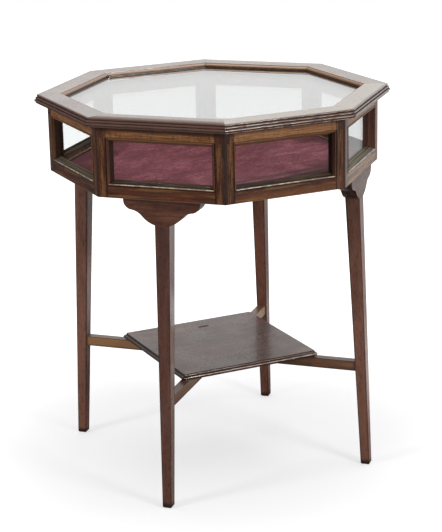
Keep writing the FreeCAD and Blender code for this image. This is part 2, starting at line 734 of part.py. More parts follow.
def make_hinge_leaves(name, upper, own_knuckles):
    """Two leaves, each a plate with its knuckles, parted from the other leaf's knuckles and drilled for screws."""
    body = new_body(name, SIDES[HINGE_SIDE])
    turned_in = f"(-1 * {HINGE_CENTRE})"
    rings = [(HINGE_AXIS, CASE_TOP, S.knuckle_radius), (HINGE_AXIS, CASE_TOP, KNUCKLE_BORE)]
    tube = draw_circles(body, "barrel", "XZ_Plane", rings, z=turned_in)
    barrel = pad(body, tube, S.hinge_length, symmetric=True)
    root = f"({HINGE_AXIS} - ({S.knuckle_radius} + {KNUCKLE_BORE}) / 2)"
    if upper:
        flat = rectangle(LEAF_TOE, CASE_TOP, root, f"({CASE_TOP} + {S.leaf_thickness})")
    else:
        flat = rectangle(LEAF_TOE, f"({CASE_TOP} - {S.leaf_thickness})", root, CASE_TOP)
    plate = pad(body, draw(body, "plate", "XZ_Plane", [flat], z=turned_in), S.hinge_length, symmetric=True)
    hinge_start = f"({HINGE_CENTRE} - {S.hinge_length} / 2)"
    step = f"({S.hinge_length} / {KNUCKLE_COUNT})"
    near, far = f"({HINGE_AXIS} - {KNUCKLE_REACH})", f"({HINGE_AXIS} + {KNUCKLE_REACH})"
    slots = []
    for knuckle in set(range(KNUCKLE_COUNT)) - set(own_knuckles):
        start = f"({hinge_start} + {knuckle} * {step} - {S.pin_clearance})"
        end = f"({hinge_start} + {knuckle + 1} * {step} + {S.pin_clearance})"
        slots.append(rectangle(near, start, far, end))
    parting = pocket(body, draw(body, "knuckle_slots", "XY_Plane", slots), symmetric=True)
    pointing = 1 if upper else -1
    holes = turn_hinge_screws("PartDesign::Groove", body, pointing, S.screw_clearance, S.joint_clearance)
    mirror(body, [barrel, plate, parting, *holes], "XZ_Plane")


def make_hinge_screws(name, upper):
    """Three countersunk screws through each leaf of the pair."""
    body = new_body(name, SIDES[HINGE_SIDE])
    mirror(body, turn_hinge_screws("PartDesign::Revolution", body, 1 if upper else -1), "XZ_Plane")


def make_hinge_pins():
    """A pin through the five knuckles of each hinge."""
    body = new_body("hinge_pins", SIDES[HINGE_SIDE])
    circle = draw_circles(
        body, "section", "XZ_Plane", [(HINGE_AXIS, CASE_TOP, S.pin_radius)], z=f"(-1 * {HINGE_CENTRE})"
    )
    pin = pad(body, circle, S.hinge_length, symmetric=True)
    mirror(body, [pin], "XZ_Plane")


# ---------------------------------------------------------------------------------------------------------------
# Stand
# ---------------------------------------------------------------------------------------------------------------


def bracket_outline(body):
    """Half of the bracket's ogee is a small lobe, a hollow and half of the belly, each tangent to the next; the other
    half mirrors it. The arcs' starting places are worked out here and the sketch's tangencies then hold them."""
    sketch = new_sketch(body, "outline", "YZ_Plane", {"z": f"({BRACKET_FACE} - {S.bracket_thickness})"})
    top = number(CASE_BOTTOM)
    half_width = number(S.bracket_width) / 2
    lobe, hollow, belly = (
        number(radius) for radius in (S.bracket_lobe_radius, S.bracket_hollow_radius, S.bracket_belly_radius)
    )
    lobe_centre = Vector(half_width - lobe, top - number(S.bracket_lobe_drop), 0)
    belly_centre = Vector(0, number(BRACKET_BOTTOM) + belly, 0)
    across = lobe_centre - belly_centre
    towards = ((belly + hollow) ** 2 - (lobe + hollow) ** 2 + across.Length**2) / (2 * across.Length)
    aside = math.sqrt((belly + hollow) ** 2 - towards**2)
    unit = across / across.Length
    hollow_centre = belly_centre + unit * towards + Vector(unit.y, -unit.x, 0) * aside
    corner = Vector(half_width, top, 0)
    lobe_start = Vector(half_width, lobe_centre.y, 0)
    lobe_end = lobe_centre + (hollow_centre - lobe_centre) * (lobe / (lobe + hollow))
    hollow_end = belly_centre + (hollow_centre - belly_centre) * (belly / (belly + hollow))
    half = ((corner, lobe_start), (lobe_start, lobe_end, lobe_centre), (lobe_end, hollow_end, hollow_centre))
    for hand in (1, -1):
        for points in half:
            add_edge(sketch, *(across_axis(point, hand) for point in points))
    add_edge(sketch, across_axis(hollow_end, -1), hollow_end, belly_centre)
    add_edge(sketch, across_axis(corner, -1), corner)
    join_bracket_edges(sketch)
    return sketch


def across_axis(point, hand):
    """A point of a sketch, or where hand is -1 its mirror image in the sketch's vertical axis."""
    return Vector(hand * point.x, point.y, 0)


def add_edge(sketch, first, last, centre=None):
    """A line, or the shorter arc about a centre, from one point to another."""
    if centre is None:
        return sketch.addGeometry(Part.LineSegment(first, last))
    circle = Part.Circle(centre, Vector(0, 0, 1), first.distanceToPoint(centre))
    angles = [math.atan2(point.y - centre.y, point.x - centre.x) for point in (first, last)]
    if (angles[1] - angles[0]) % (2 * math.pi) > math.pi:
        angles.reverse()
    if angles[1] < angles[0]:
        angles[1] += 2 * math.pi
    return sketch.addGeometry(Part.ArcOfCircle(circle, angles[0], angles[1]))


def nearest_ends(sketch, first, second):
    """Which ends of two sketch edges meet."""
    pairs = [(one, other) for one in (START, END) for other in (START, END)]
    return min(pairs, key=lambda ends: (sketch.getPoint(first, ends[0]) - sketch.getPoint(second, ends[1])).Length)


def join_bracket_edges(sketch):
    """Hold the bracket's outline: edges 0 to 2 are the right drop, lobe and hollow, 3 to 5 the left ones, 6 is the
    belly and 7 the top."""
    tangent_pairs = ((0, 1), (1, 2), (2, 6), (6, 5), (5, 4), (4, 3))
    for first, second in tangent_pairs:
        ends = nearest_ends(sketch, first, second)
        sketch.addConstraint(Sketcher.Constraint("Tangent", first, ends[0], second, ends[1]))
    for first, second in ((3, 7), (7, 0)):
        ends = nearest_ends(sketch, first, second)
        sketch.addConstraint(Sketcher.Constraint("Coincident", first, ends[0], second, ends[1]))
    half_width = f"({S.bracket_width} / 2)"
    lobe_level = f"({CASE_BOTTOM} - {S.bracket_lobe_drop})"
    for edge, hand in ((1, 1), (4, -1)):
        hold(sketch, edge, CENTRE, "x", f"({hand} * ({half_width} - {S.bracket_lobe_radius}))")
        hold(sketch, edge, CENTRE, "y", lobe_level)
    hold(sketch, 6, CENTRE, "x", 0)
    hold(sketch, 6, CENTRE, "y", f"({BRACKET_BOTTOM} + {S.bracket_belly_radius})")
    for edge, radius in (
        (1, S.bracket_lobe_radius),
        (4, S.bracket_lobe_radius),
        (2, S.bracket_hollow_radius),
        (5, S.bracket_hollow_radius),
        (6, S.bracket_belly_radius),
    ):
        index = sketch.addConstraint(Sketcher.Constraint("Radius", edge, number(radius)))
        sketch.setExpression(f"Constraints[{index}]", radius)
    for edge in (0, 3):
        index = sketch.addConstraint(Sketcher.Constraint("Vertical", edge))
        end = nearest_ends(sketch, edge, 7)[0]
        hold(sketch, edge, end, "y", CASE_BOTTOM)


def make_brackets():
    """Four shaped blocks under the case, mortised for the legs."""
    for side in LEG_SIDES:
        body = new_body(f"bracket_{side}", SIDES[side])
        pad(body, bracket_outline(body), S.bracket_thickness)
        half = f"({S.leg_tenon_width} / 2 + {S.joint_clearance})"
        near, far = f"({LEG_TOP_CENTRE} - {half})", f"({LEG_TOP_CENTRE} + {half})"
        mortise = draw(
            body,
            "mortise",
            "XY_Plane",
            [rectangle(near, f"(-1 * {half})", far, half)],
            z=f"({BRACKET_BOTTOM} - {S.saw_allowance})",
        )
        pocket(
            body, mortise, f"({S.leg_tenon_height} + {S.joint_clearance} + {S.saw_allowance})", reversed_way=True
        )


def rounded_toe(corner, lean, outwards):
    """Where a leg's face meets the floor at a corner, leaning in by an angle as it climbs, the toe is rounded. Returns
    the arc's centre, its start on the floor and its end on the face, each as expressions across and up. outwards is
    1 for a face that looks along the sketch's horizontal axis and -1 for one that looks against it."""
    centre = f"({corner} - {outwards} * {S.foot_round} * (1 + sin({lean})) / cos({lean}))"
    face = f"({centre} + {outwards} * {S.foot_round} * cos({lean}))"
    return (centre, S.foot_round), (centre, 0), (face, f"({S.foot_round} * (1 + sin({lean})))")


def make_legs():
    """Four legs, sawn tapering on all four sides, with a rounded foot, a shoulder scribed to the bracket's belly, a
    tenon above it and a mortise for the stretcher."""
    foot_half = f"({S.leg_foot_width} / 2)"
    top_half = f"({S.leg_top_width} / 2)"
    outer_foot, inner_foot = f"({FOOT_CENTRE} + {foot_half})", f"({FOOT_CENTRE} - {foot_half})"
    outer_top, inner_top = f"({LEG_TOP_CENTRE} + {top_half})", f"({LEG_TOP_CENTRE} - {top_half})"
    outer_centre, outer_floor, outer_face = rounded_toe(
        outer_foot, f"atan(({outer_foot} - {outer_top}) / {LEG_BLANK_TOP})", 1
    )
    inner_centre, inner_floor, inner_face = rounded_toe(
        inner_foot, f"atan(({inner_top} - {inner_foot}) / {LEG_BLANK_TOP})", -1
    )
    elevation = [
        inner_face,
        (*inner_floor, *inner_centre, 1),
        outer_floor,
        (*outer_face, *outer_centre, 1),
        (outer_top, LEG_BLANK_TOP),
        (inner_top, LEG_BLANK_TOP),
    ]
    waste = f"({top_half} + {S.saw_allowance})"
    below = f"(-1 * {S.saw_allowance})"
    lean = f"atan(({foot_half} - {top_half}) / {LEG_BLANK_TOP})"
    wedges = []
    for hand in (1, -1):
        centre, floor, face = rounded_toe(f"({hand} * {foot_half})", lean, hand)
        wedge = [
            (floor[0], below),
            floor,
            (*face, *centre, hand),
            (f"({hand} * {top_half})", LEG_BLANK_TOP),
            (f"({hand} * {waste})", LEG_BLANK_TOP),
            (f"({hand} * {waste})", below),
        ]
        wedges.append(wedge)
    for side in LEG_SIDES:
        body = new_body(f"leg_{side}", SIDES[side])
        pad(body, draw(body, "elevation", "XZ_Plane", [elevation]), S.leg_top_width, symmetric=True)
        sawn = pocket(body, draw(body, "side_tapers", "YZ_Plane", wedges), symmetric=True)
        round_edges(body, sawn, S.leg_arris_round, lambda edge: edge.BoundBox.ZLength > number(CASE_BOTTOM) / 2)
        belly = [(0, f"({BRACKET_BOTTOM} + {S.bracket_belly_radius})", S.bracket_belly_radius)]
        pocket(body, draw_circles(body, "scribed_shoulder", "YZ_Plane", belly), symmetric=True)
        tenon_half = f"({S.leg_tenon_width} / 2)"
        tenon_low, tenon_high = f"({LEG_TOP_CENTRE} - {tenon_half})", f"({LEG_TOP_CENTRE} + {tenon_half})"
        tenon = rectangle(tenon_low, f"(-1 * {tenon_half})", tenon_high, tenon_half)
        pad(body, draw(body, "tenon", "XY_Plane", [tenon], z=BRACKET_BOTTOM), S.leg_tenon_height)
        clear = S.joint_clearance
        low = f"({STRETCHER_BOTTOM} + {S.stretcher_tenon_shoulder} - {clear})"
        high = f"({S.stretcher_top} - {S.stretcher_tenon_shoulder} + {clear})"
        mouth = f"({leg_inner_face(STRETCHER_MIDDLE)} - {S.saw_allowance})"
        end = f"({leg_inner_face(STRETCHER_MIDDLE)} + {S.stretcher_tenon_length} + {clear})"
        mortise = draw(body, "mortise", "XZ_Plane", [rectangle(mouth, low, end, high)])
        pocket(body, mortise, f"({S.stretcher_tenon_thickness} + 2 * {clear})", symmetric=True)


def make_stretcher(name, angle, notch_above):
    """One bar on edge from leg to opposite leg, with sloping shoulders, stub tenons and its half of the crossing."""
    body = new_body(name, angle)
    low_end = leg_inner_face(STRETCHER_BOTTOM)
    high_end = leg_inner_face(S.stretcher_top)
    elevation = [
        (f"(-1 * {low_end})", STRETCHER_BOTTOM),
        (low_end, STRETCHER_BOTTOM),
        (high_end, S.stretcher_top),
        (f"(-1 * {high_end})", S.stretcher_top),
    ]
    pad(body, draw(body, "elevation", "XZ_Plane", [elevation]), S.stretcher_width, symmetric=True)
    reach = f"({leg_inner_face(STRETCHER_MIDDLE)} + {S.stretcher_tenon_length})"
    tenon = rectangle(
        f"(-1 * {reach})",
        f"({STRETCHER_BOTTOM} + {S.stretcher_tenon_shoulder})",
        reach,
        f"({S.stretcher_top} - {S.stretcher_tenon_shoulder})",
    )
    pad(body, draw(body, "tenon", "XZ_Plane", [tenon]), S.stretcher_tenon_thickness, symmetric=True)
    half = f"({S.stretcher_width} / 2 + {S.joint_clearance})"
    if notch_above:
        notch = rectangle(f"(-1 * {half})", STRETCHER_MIDDLE, half, f"({S.stretcher_top} + {S.saw_allowance})")
    else:
        notch = rectangle(f"(-1 * {half})", f"({STRETCHER_BOTTOM} - {S.saw_allowance})", half, STRETCHER_MIDDLE)
    pocket(body, draw(body, "crossing", "XZ_Plane", [notch]), symmetric=True)


def make_shelf():
    """A clipped square board. Its moulding, a fillet, a hollow and an astragal, is worked along each edge."""
    body = new_body("shelf")
    nose = f"({S.shelf_hollow_radius} + {S.shelf_astragal_radius})"
    square_reach = f"({SHELF_SIDE} + {nose})"
    clip_reach = f"({SHELF_CLIP} + {nose})"
    along = f"({clip_reach} * sqrt(2) - {square_reach})"
    corners = []
    for turn in range(4):
        cosine, sine = ((1, 0), (0, 1), (-1, 0), (0, -1))[turn]
        for hand in (-1, 1):
            corners.append(turned_45(square_reach, f"({hand} * {along})", cosine, sine))
    pad(body, draw(body, "plan", "XY_Plane", [corners], z=S.stretcher_top), S.shelf_thickness)
    for name, plane_turn, reach in (("side_moulding", 45, SHELF_SIDE), ("clip_moulding", 0, SHELF_CLIP)):
        waste = draw(body, name, "XZ_Plane", [shelf_waste(reach)])
        waste.AttachmentOffset = Placement(Vector(), Rotation(Vector(0, 1, 0), plane_turn))
        turn_pattern(body, [pocket(body, waste, symmetric=True)], 4)


def turned_45(reach, along, cosine, sine):
    """A plan point beside the side that faces 45 degrees from (cosine, sine), reach out and along it."""
    across = f"(({cosine} - {sine}) * {reach} - ({cosine} + {sine}) * {along}) / sqrt(2)"
    up = f"(({cosine} + {sine}) * {reach} + ({cosine} - {sine}) * {along}) / sqrt(2)"
    return f"({across})", f"({up})"


def shelf_waste(reach):
    """What the moulding plane takes off an edge: the outside of the fillet, hollow, astragal and under step."""
    top = SHELF_TOP
    fillet = f"({SHELF_TOP} - {S.shelf_fillet})"
    hollow_end = f"({reach} + {S.shelf_hollow_radius})"
    hollow_low = f"({fillet} - {S.shelf_hollow_radius})"
    nose_level = f"({hollow_low} - {S.shelf_astragal_radius})"
    nose_low = f"({nose_level} - {S.shelf_astragal_radius})"
    under = f"({hollow_end} - {S.shelf_under_step})"
    outside = f"({hollow_end} + {S.shelf_astragal_radius} + {S.saw_allowance})"
    above = f"({top} + {S.saw_allowance})"
    below = f"({S.stretcher_top} - {S.saw_allowance})"
    return [
        (reach, above),
        (reach, fillet),
        (hollow_end, hollow_low, hollow_end, fillet, 1),
        (hollow_end, nose_low, hollow_end, nose_level, -1),
        (under, nose_low),
        (under, below),
        (outside, below),
        (outside, above),
    ]


# ---------------------------------------------------------------------------------------------------------------
# Build, check and write
# ---------------------------------------------------------------------------------------------------------------

make_lid_rails()
make_lid_glass()
make_lid_glazing_beads()
make_corner_posts()
make_top_rails()
make_bottom_rails()
make_cock_beads()
make_side_panes()
make_inner_beads()
make_base_board()
make_velvet_lining()
make_hinge_leaves("hinge_lid_leaves", True, (1, 3))
make_hinge_leaves("hinge_case_leaves", False, (0, 2, 4))
make_hinge_pins()
make_hinge_screws("hinge_lid_screws", True)
make_hinge_screws("hinge_case_screws", False)
make_brackets()
make_legs()
make_stretcher("stretcher_left_right", 0, True)
make_stretcher("stretcher_front_back", 90, False)
make_shelf()
doc.recompute()

failed = [item.Label for item in doc.Objects if {"Invalid", "Error"} & set(item.State)]
if failed:
    raise RuntimeError(f"features failed: {failed}")
bodies = [item for item in doc.Objects if item.TypeId == "PartDesign::Body"]
for body in bodies:
    if body.Shape.isNull() or not body.Shape.isValid() or not body.Shape.Solids:
        raise RuntimeError(f"{body.Label} has no valid solid")
    for feature in body.Group:
        if feature.TypeId in ("PartDesign::Pocket", "PartDesign::Groove"):
            if feature.Shape.Volume >= feature.BaseFeature.Shape.Volume:
                raise RuntimeError(f"{feature.Label} cuts nothing")

os.makedirs("parts", exist_ok=True)
for body in bodies:
    body.Shape.exportStep(f"parts/{body.Label}.step")
    print(body.Label, len(body.Shape.Solids), "solids", round(body.Shape.Volume / 1000, 2), "cm3")
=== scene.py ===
import math

import bmesh
import bpy
from mathutils import Matrix, Vector, noise


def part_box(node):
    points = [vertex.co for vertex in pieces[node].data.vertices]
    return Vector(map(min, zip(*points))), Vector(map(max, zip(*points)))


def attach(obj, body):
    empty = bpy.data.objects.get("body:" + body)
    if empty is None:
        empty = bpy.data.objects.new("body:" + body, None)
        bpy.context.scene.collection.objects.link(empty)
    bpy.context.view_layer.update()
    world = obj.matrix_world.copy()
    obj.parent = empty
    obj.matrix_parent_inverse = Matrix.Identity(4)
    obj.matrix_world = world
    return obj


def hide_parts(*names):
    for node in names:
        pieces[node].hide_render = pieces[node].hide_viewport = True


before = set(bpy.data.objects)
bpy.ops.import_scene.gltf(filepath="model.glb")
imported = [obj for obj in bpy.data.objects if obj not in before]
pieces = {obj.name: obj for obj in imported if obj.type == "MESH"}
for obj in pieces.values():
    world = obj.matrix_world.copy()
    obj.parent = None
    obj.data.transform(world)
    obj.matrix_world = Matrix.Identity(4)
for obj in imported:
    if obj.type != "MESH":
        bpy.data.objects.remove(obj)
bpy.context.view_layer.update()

# ----------------------------------------------------------------------
# Where the table is looked at from: a long lens a little to the right of the front, above the lid, held with the
# slight lean of a hand-levelled tripod.
# ----------------------------------------------------------------------


def set_out(name, data):
    """A new object, put into the scene."""
    thing = bpy.data.objects.new(name, data)
    bpy.context.scene.collection.objects.link(thing)
    return thing


round_table, above_level, lean = math.radians(19.25), math.radians(16.60), math.radians(-1.227)
stands_at = Vector((1.0423, -2.9621, 1.3080))
film, lens_to_film = 36, 3.2169549
flat_back = Vector((math.sin(round_table), -math.cos(round_table), 0))
backward = flat_back * math.cos(above_level) + Vector((0, 0, math.sin(above_level)))
level_right = (-backward).cross(Vector((0, 0, 1))).normalized()
level_up = level_right.cross(-backward)
rightward = level_right * math.cos(lean) + level_up * math.sin(lean)
upward = level_up * math.cos(lean) - level_right * math.sin(lean)
lens = bpy.data.cameras.new("viewpoint")
lens.sensor_width = film
lens.lens = lens_to_film * film
lens.clip_start, lens.clip_end = 0.1, 60
viewpoint = set_out("viewpoint", lens)
held = Matrix((rightward, upward, backward)).transposed().to_4x4()
viewpoint.matrix_world = Matrix.Translation(stands_at) @ held
bpy.context.scene.camera = viewpoint
bpy.context.scene.view_settings.view_transform = "Standard"

# ----------------------------------------------------------------------
# The lid's eight rails: mahogany, mitred at the corners, with three stepped reeds worked on the outer edge and an
# ovolo on the inner one. French polished and faded on top. The reed crests carry painted glints and the quirks
# painted shade, both strongest on the sides towards the right-hand lamp, where the top also has a painted grey
# sheen;
# the lip at the glass is painted with shadow, and the front rail's top is painted darker.
# ----------------------------------------------------------------------


def stain(red, green, blue):
    """A colour as a maker reads it off a sample board, from 0 to 255, as the shader wants it."""
    return tuple(((c / 255 + 0.055) / 1.055) ** 2.4 if c > 10 else c / 3295 for c in (red, green, blue)) + (1.0,)


class Recipe:
    """A tree of steps, each fed with plain numbers or with what other steps give."""

    def __init__(self, tree):
        self.tree = tree
        self.tree.nodes.clear()

    def add(self, kind, fed=None, **settings):
        """One more step, with what is fed to its sockets."""
        step = self.tree.nodes.new(kind)
        for key, value in settings.items():
            setattr(step, key, value)
        for socket, value in (fed or {}).items():
            if isinstance(value, bpy.types.NodeSocket):
                self.tree.links.new(value, step.inputs[socket])
            else:
                step.inputs[socket].default_value = value
        return step

    def work(self, operation, *values):
        """One piece of arithmetic."""
        return self.add("ShaderNodeMath", dict(enumerate(values)), operation=operation).outputs[0]

    def times(self, first, *others):
        """Everything multiplied together."""
        for other in others:
            first = self.work("MULTIPLY", first, other)
        return first

    def all_but(self, share, part=1.0):
        """What is left of the whole once part of a share is taken off it."""
        return self.work("MULTIPLY_ADD", share, -part, 1.0)

    def off(self, value, centre):
        """How far value is from centre, to either side."""
        return self.work("ABSOLUTE", self.work("SUBTRACT", value, centre))

    def ease(self, value, start, end, least=0.0, most=1.0, way="SMOOTHSTEP"):
        """Goes from least to most as value goes from start to end."""
        fed = {"Value": value, "From Min": start, "From Max": end, "To Min": least, "To Max": most}
        return self.add("ShaderNodeMapRange", fed, interpolation_type=way).outputs[0]

    def strip(self, value, start, end, soft):
        """1 where value lies between start and end, 0 outside, with soft borders."""
        return self.times(self.ease(value, start - soft, start + soft), self.ease(value, end + soft, end - soft))

    def only(self, number, wanted):
        """1 on the piece with the wanted number, 0 on the others."""
        return self.strip(number, wanted - 0.5, wanted + 0.5, 0.1)

    def apart(self, place):
        return self.add("ShaderNodeSeparateXYZ", {0: place}).outputs

    def together(self, x, y, z):
        return self.add("ShaderNodeCombineXYZ", {0: x, 1: y, 2: z}).outputs[0]


class Finish(Recipe):
    """One finish being mixed: its material, the colour so far, and the steps that only a finish needs."""

    def __init__(self, name):
        self.material = bpy.data.materials.new(name)
        self.material.use_nodes = True
        super().__init__(self.material.node_tree)
        self.place = self.add("ShaderNodeTexCoord").outputs["Object"]

    def mottle(self, place, across, detail=3.0, roughness=0.55, twist=0.0):
        """Cloudy variation. across says how many clouds there are to a metre, in all directions or in each."""
        across = across if isinstance(across, tuple) else (across,) * 3
        spread = self.add("ShaderNodeMapping", {"Vector": place, "Scale": across}).outputs[0]
        fed = {"Vector": spread, "Scale": 1.0, "Detail": detail, "Roughness": roughness, "Distortion": twist}
        return self.add("ShaderNodeTexNoise", fed).outputs["Fac"]

    def shade(self, value, *stops):
        """The colour for a value, from (value, colour) stops."""
        step = self.add("ShaderNodeValToRGB", {"Fac": value})
        edge = step.color_ramp.elements
        edge[0].position, edge[0].color = stops[0]
        edge[1].position, edge[1].color = stops[-1]
        for position, colour in stops[1:-1]:
            edge.new(position).color = colour
        return step.outputs["Color"]

    def lay(self, share, under, over):
        """One colour laid over another, by a share from 0 to 1."""
        return self.add("ShaderNodeMix", {0: share, 6: under, 7: over}, data_type="RGBA").outputs[2]

    def rub_in(self, tone, *shares):
        """Rubs a tone over the colour so far, by shares that are multiplied together. The tone is read off the
        sample board, or is what another step gives."""
        over = tone if isinstance(tone, bpy.types.NodeSocket) else stain(*tone)
        self.colour = self.lay(self.times(*shares), self.colour, over)

    def swung(self, degrees):
        """The place, turned round the table's axis."""
        fed = {"Vector": self.place, "Rotation": (0, 0, math.radians(degrees))}
        return self.add("ShaderNodeMapping", fed).outputs[0]

    def turned_to_side(self, count, first=0.0):
        """The place with the nearest of count sides turned round the table's axis to face +X, so that it reads
        outwards, along the side and up; and that side's number. first is the direction of side 0, in degrees."""
        x, y = self.apart(self.place)[:2]
        step, start = 2 * math.pi / count, math.radians(first)
        direction = self.work("SUBTRACT", self.work("ARCTAN2", y, x), start)
        number = self.work("ROUND", self.work("DIVIDE", direction, step))
        back = self.work("MULTIPLY_ADD", number, -step, -start)
        fed = {"Vector": self.place, "Angle": back}
        turned = self.add("ShaderNodeVectorRotate", fed, rotation_type="Z_AXIS").outputs[0]
        return turned, self.work("FLOORED_MODULO", number, float(count))

    def relief(self, height, strength, depth):
        """Small hills and hollows in the surface, depth metres for a height of 1."""
        fed = {"Strength": strength, "Distance": depth, "Height": height}
        return self.add("ShaderNodeBump", fed).outputs[0]

    def finished(self, kind, fed):
        """The material, once its surface has its last step."""
        surface = self.add(kind, fed)
        self.add("ShaderNodeOutputMaterial", {"Surface": surface.outputs[0]})
        return self.material


def board_from(finish, place, number, grain):
    """The place inside the board that a piece was cut from, its second number along the grain. Every side is cut
    from another stretch of board."""
    x, y, z = finish.apart(place)
    along, through = {"along": (y, z), "upright": (z, y)}[grain]
    along = finish.work("MULTIPLY_ADD", number, 1.37, along)
    through = finish.work("MULTIPLY_ADD", number, 0.231, through)
    return finish.together(x, along, through)


def mahogany(finish, board, dark, middle, light):
    """Bare mahogany as the first colour: broad figure, ribbon stripe, fibres and short dark pores."""
    figure = finish.mottle(board, (30, 2.4, 30), detail=4, twist=0.6)
    ribbon = finish.mottle(board, (150, 4.5, 90), detail=3)
    finish.fibre = finish.mottle(board, (760, 21, 760), detail=2)
    vessels = finish.mottle(board, (2100, 95, 2100), detail=1)
    tone = finish.work("MULTIPLY_ADD", ribbon, 0.34, finish.times(figure, 0.40))
    tone = finish.work("MULTIPLY_ADD", finish.fibre, 0.26, tone)
    finish.colour = finish.shade(tone, (0.39, stain(*dark)), (0.50, stain(*middle)), (0.61, stain(*light)))
    finish.pores = finish.ease(vessels, 0.56, 0.68)
    finish.rub_in((30, 16, 12), finish.pores, 0.5)


def french_polish(finish, gloss, coat, ripple=0.25, hollows=None, dull=0.0, body=0.5):
    """Shellac over the wood: a thin clear coat, duller where hands have been, that sinks a little into the pores.
    dull is how much rougher a part is that never was rubbed up, and body how much polish there is under the coat."""
    handled = finish.mottle(finish.place, 17, detail=4)
    roughness = finish.ease(handled, 0.32, 0.70, gloss, gloss + 0.12)
    roughness = finish.work("ADD", finish.work("MULTIPLY_ADD", finish.pores, 0.12, roughness), dull)
    scraped = finish.mottle(finish.place, 95, detail=2)
    height = finish.work("MULTIPLY_ADD", finish.pores, -0.22, finish.times(scraped, ripple))
    height = finish.work("MULTIPLY_ADD", finish.fibre, 0.10, height)
    if hollows is not None:
        height = finish.work("SUBTRACT", height, hollows)
    relief = finish.relief(height, 0.5, 0.0006)
    fed = {
        "Base Color": finish.colour,
        "Roughness": roughness,
        "IOR": 1.5,
        "Specular IOR Level": body,
        "Coat Weight": coat,
        "Coat Roughness": 0.07,
        "Coat IOR": 1.5,
        "Normal": relief,
        "Coat Normal": relief,
    }
    return finish.finished("ShaderNodeBsdfPrincipled", fed)


def dress(material, *names):
    """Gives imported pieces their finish. Their shape and place stay as they are."""
    for name in names:
        for place in pieces[name].material_slots:
            place.link = "OBJECT"
            place.material = material


sides = ("right", "back_right", "back", "back_left", "left", "front_left", "front", "front_right")
half_turn = math.pi / 8
lid_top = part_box("lid_rail_front")[1].z
# How far from the middle of the lid its forms lie, and the strip of the front rail's top that is painted darker.
reeds_from, reed_pitch = 0.2962, 0.0045
ovolo_from, ovolo_to = 0.2525, 0.2613
front_top_from, front_top_to = 0.2760, 0.2930
lid = Finish("lid_polish")
turned, number = lid.turned_to_side(8)
outward, along, up = lid.apart(turned)
mahogany(lid, board_from(lid, turned, number, "along"), (56, 34, 26), (80, 52, 39), (108, 76, 56))
# The top face is paler: fading, plus a painted grey sheen on the two sides towards the right-hand lamp.
fade_and_sheen_top = lid.times(lid.ease(up, lid_top - 0.0012, lid_top - 0.0002), 0.26)
lid.rub_in((134, 106, 82), fade_and_sheen_top)
lamp_side = lid.ease(lid.off(number, 3.5), 2.7, 3.3)
lid.rub_in((176, 164, 146), fade_and_sheen_top, lamp_side, 1.8)
on_reeds = lid.ease(outward, reeds_from, reeds_from + 0.0020)
reed = lid.work("PINGPONG", lid.work("DIVIDE", lid.work("SUBTRACT", lid_top, up), reed_pitch), 0.5)
quirks = lid.times(lid.ease(reed, 0.22, 0.08), on_reeds, lid.ease(up, lid_top - 0.0014, lid_top - 0.0022))
patchy = lid.ease(lid.mottle(turned, (60, 55, 60)), 0.40, 0.54, 0.2, 1.0)
# Painted glints along the reed crests, broken in patches: near white on the lamp side, golden elsewhere.
glint_share = lid.times(lid.ease(reed, 0.33, 0.42), on_reeds, patchy)
lamp_contrast = lid.work("MULTIPLY_ADD", lamp_side, 0.6, 0.4)
lid.rub_in((70, 37, 29), on_reeds, 0.70)
lid.rub_in(lid.lay(lamp_side, stain(176, 108, 72), stain(206, 170, 144)), glint_share, lamp_contrast, 0.8)
# Painted shade in the quirks between the reeds, strongest on the lamp side.
lid.rub_in((26, 14, 12), quirks, lamp_contrast, 0.8)
on_ovolo = lid.strip(outward, ovolo_from, ovolo_to, 0.0003)
lid.rub_in((142, 98, 54), on_ovolo, 0.7)
ovolo_quirk = lid.strip(outward, ovolo_to - 0.0007, ovolo_to + 0.0003, 0.0003)
lid.rub_in((34, 19, 14), ovolo_quirk, 0.35)
# Painted shadow along the lip where the ovolo meets the glass.
shaded_lip = lid.times(lid.ease(up, lid_top - 0.0036, lid_top - 0.0054), on_ovolo)
lid.rub_in((24, 14, 11), shaded_lip, 0.85)
to_mitre = lid.times(lid.work("ABSOLUTE", along), math.cos(half_turn))
to_mitre = lid.work("SUBTRACT", lid.times(outward, math.sin(half_turn)), to_mitre)
mitre = lid.ease(to_mitre, 0.0009, 0.0001)
lid.rub_in((32, 18, 14), mitre, 0.7)
# Painted shade: the front rail's top is painted darker, with less coat and a rougher finish.
darker_front_top = lid.times(lid.only(number, sides.index("front")), lid.ease(outward, front_top_from, front_top_to))
lid.rub_in((84, 56, 44), darker_front_top, 0.6)
shaded_reeds = lid.times(on_reeds, lid.all_but(lamp_side))
coat = lid.times(lid.work("MULTIPLY_ADD", darker_front_top, -0.75, 0.85), lid.all_but(shaded_lip))
coat = lid.times(coat, lid.all_but(quirks, 0.8), lid.all_but(shaded_reeds, 0.5))
dull = lid.times(lid.work("MAXIMUM", darker_front_top, quirks), 0.40)
lid_polish = french_polish(lid, gloss=0.18, coat=coat, hollows=mitre, dull=dull)
dress(lid_polish, *(f"lid_rail_{side}" for side in sides))

# ----------------------------------------------------------------------
# The beads that hold the lid's glass up against its lip: thin mitred mahogany strips, rounded on the show side and
# bradded from below. Same stuff as the rails, less polished.
# ----------------------------------------------------------------------
under_lid = Finish("lid_bead_polish")
turned, number = under_lid.turned_to_side(8)
board = board_from(under_lid, turned, number, "along")
mahogany(under_lid, board, (58, 34, 26), (86, 54, 40), (116, 78, 54))
dress(french_polish(under_lid, gloss=0.32, coat=0.3), "lid_glazing_beads")

# ----------------------------------------------------------------------
# The lid's glass: one octagonal plate, clear with a faint green in its thickness. Old plate is never quite flat,
# and seen low across the lid it mirrors the room far more than it shows the case.
# ----------------------------------------------------------------------


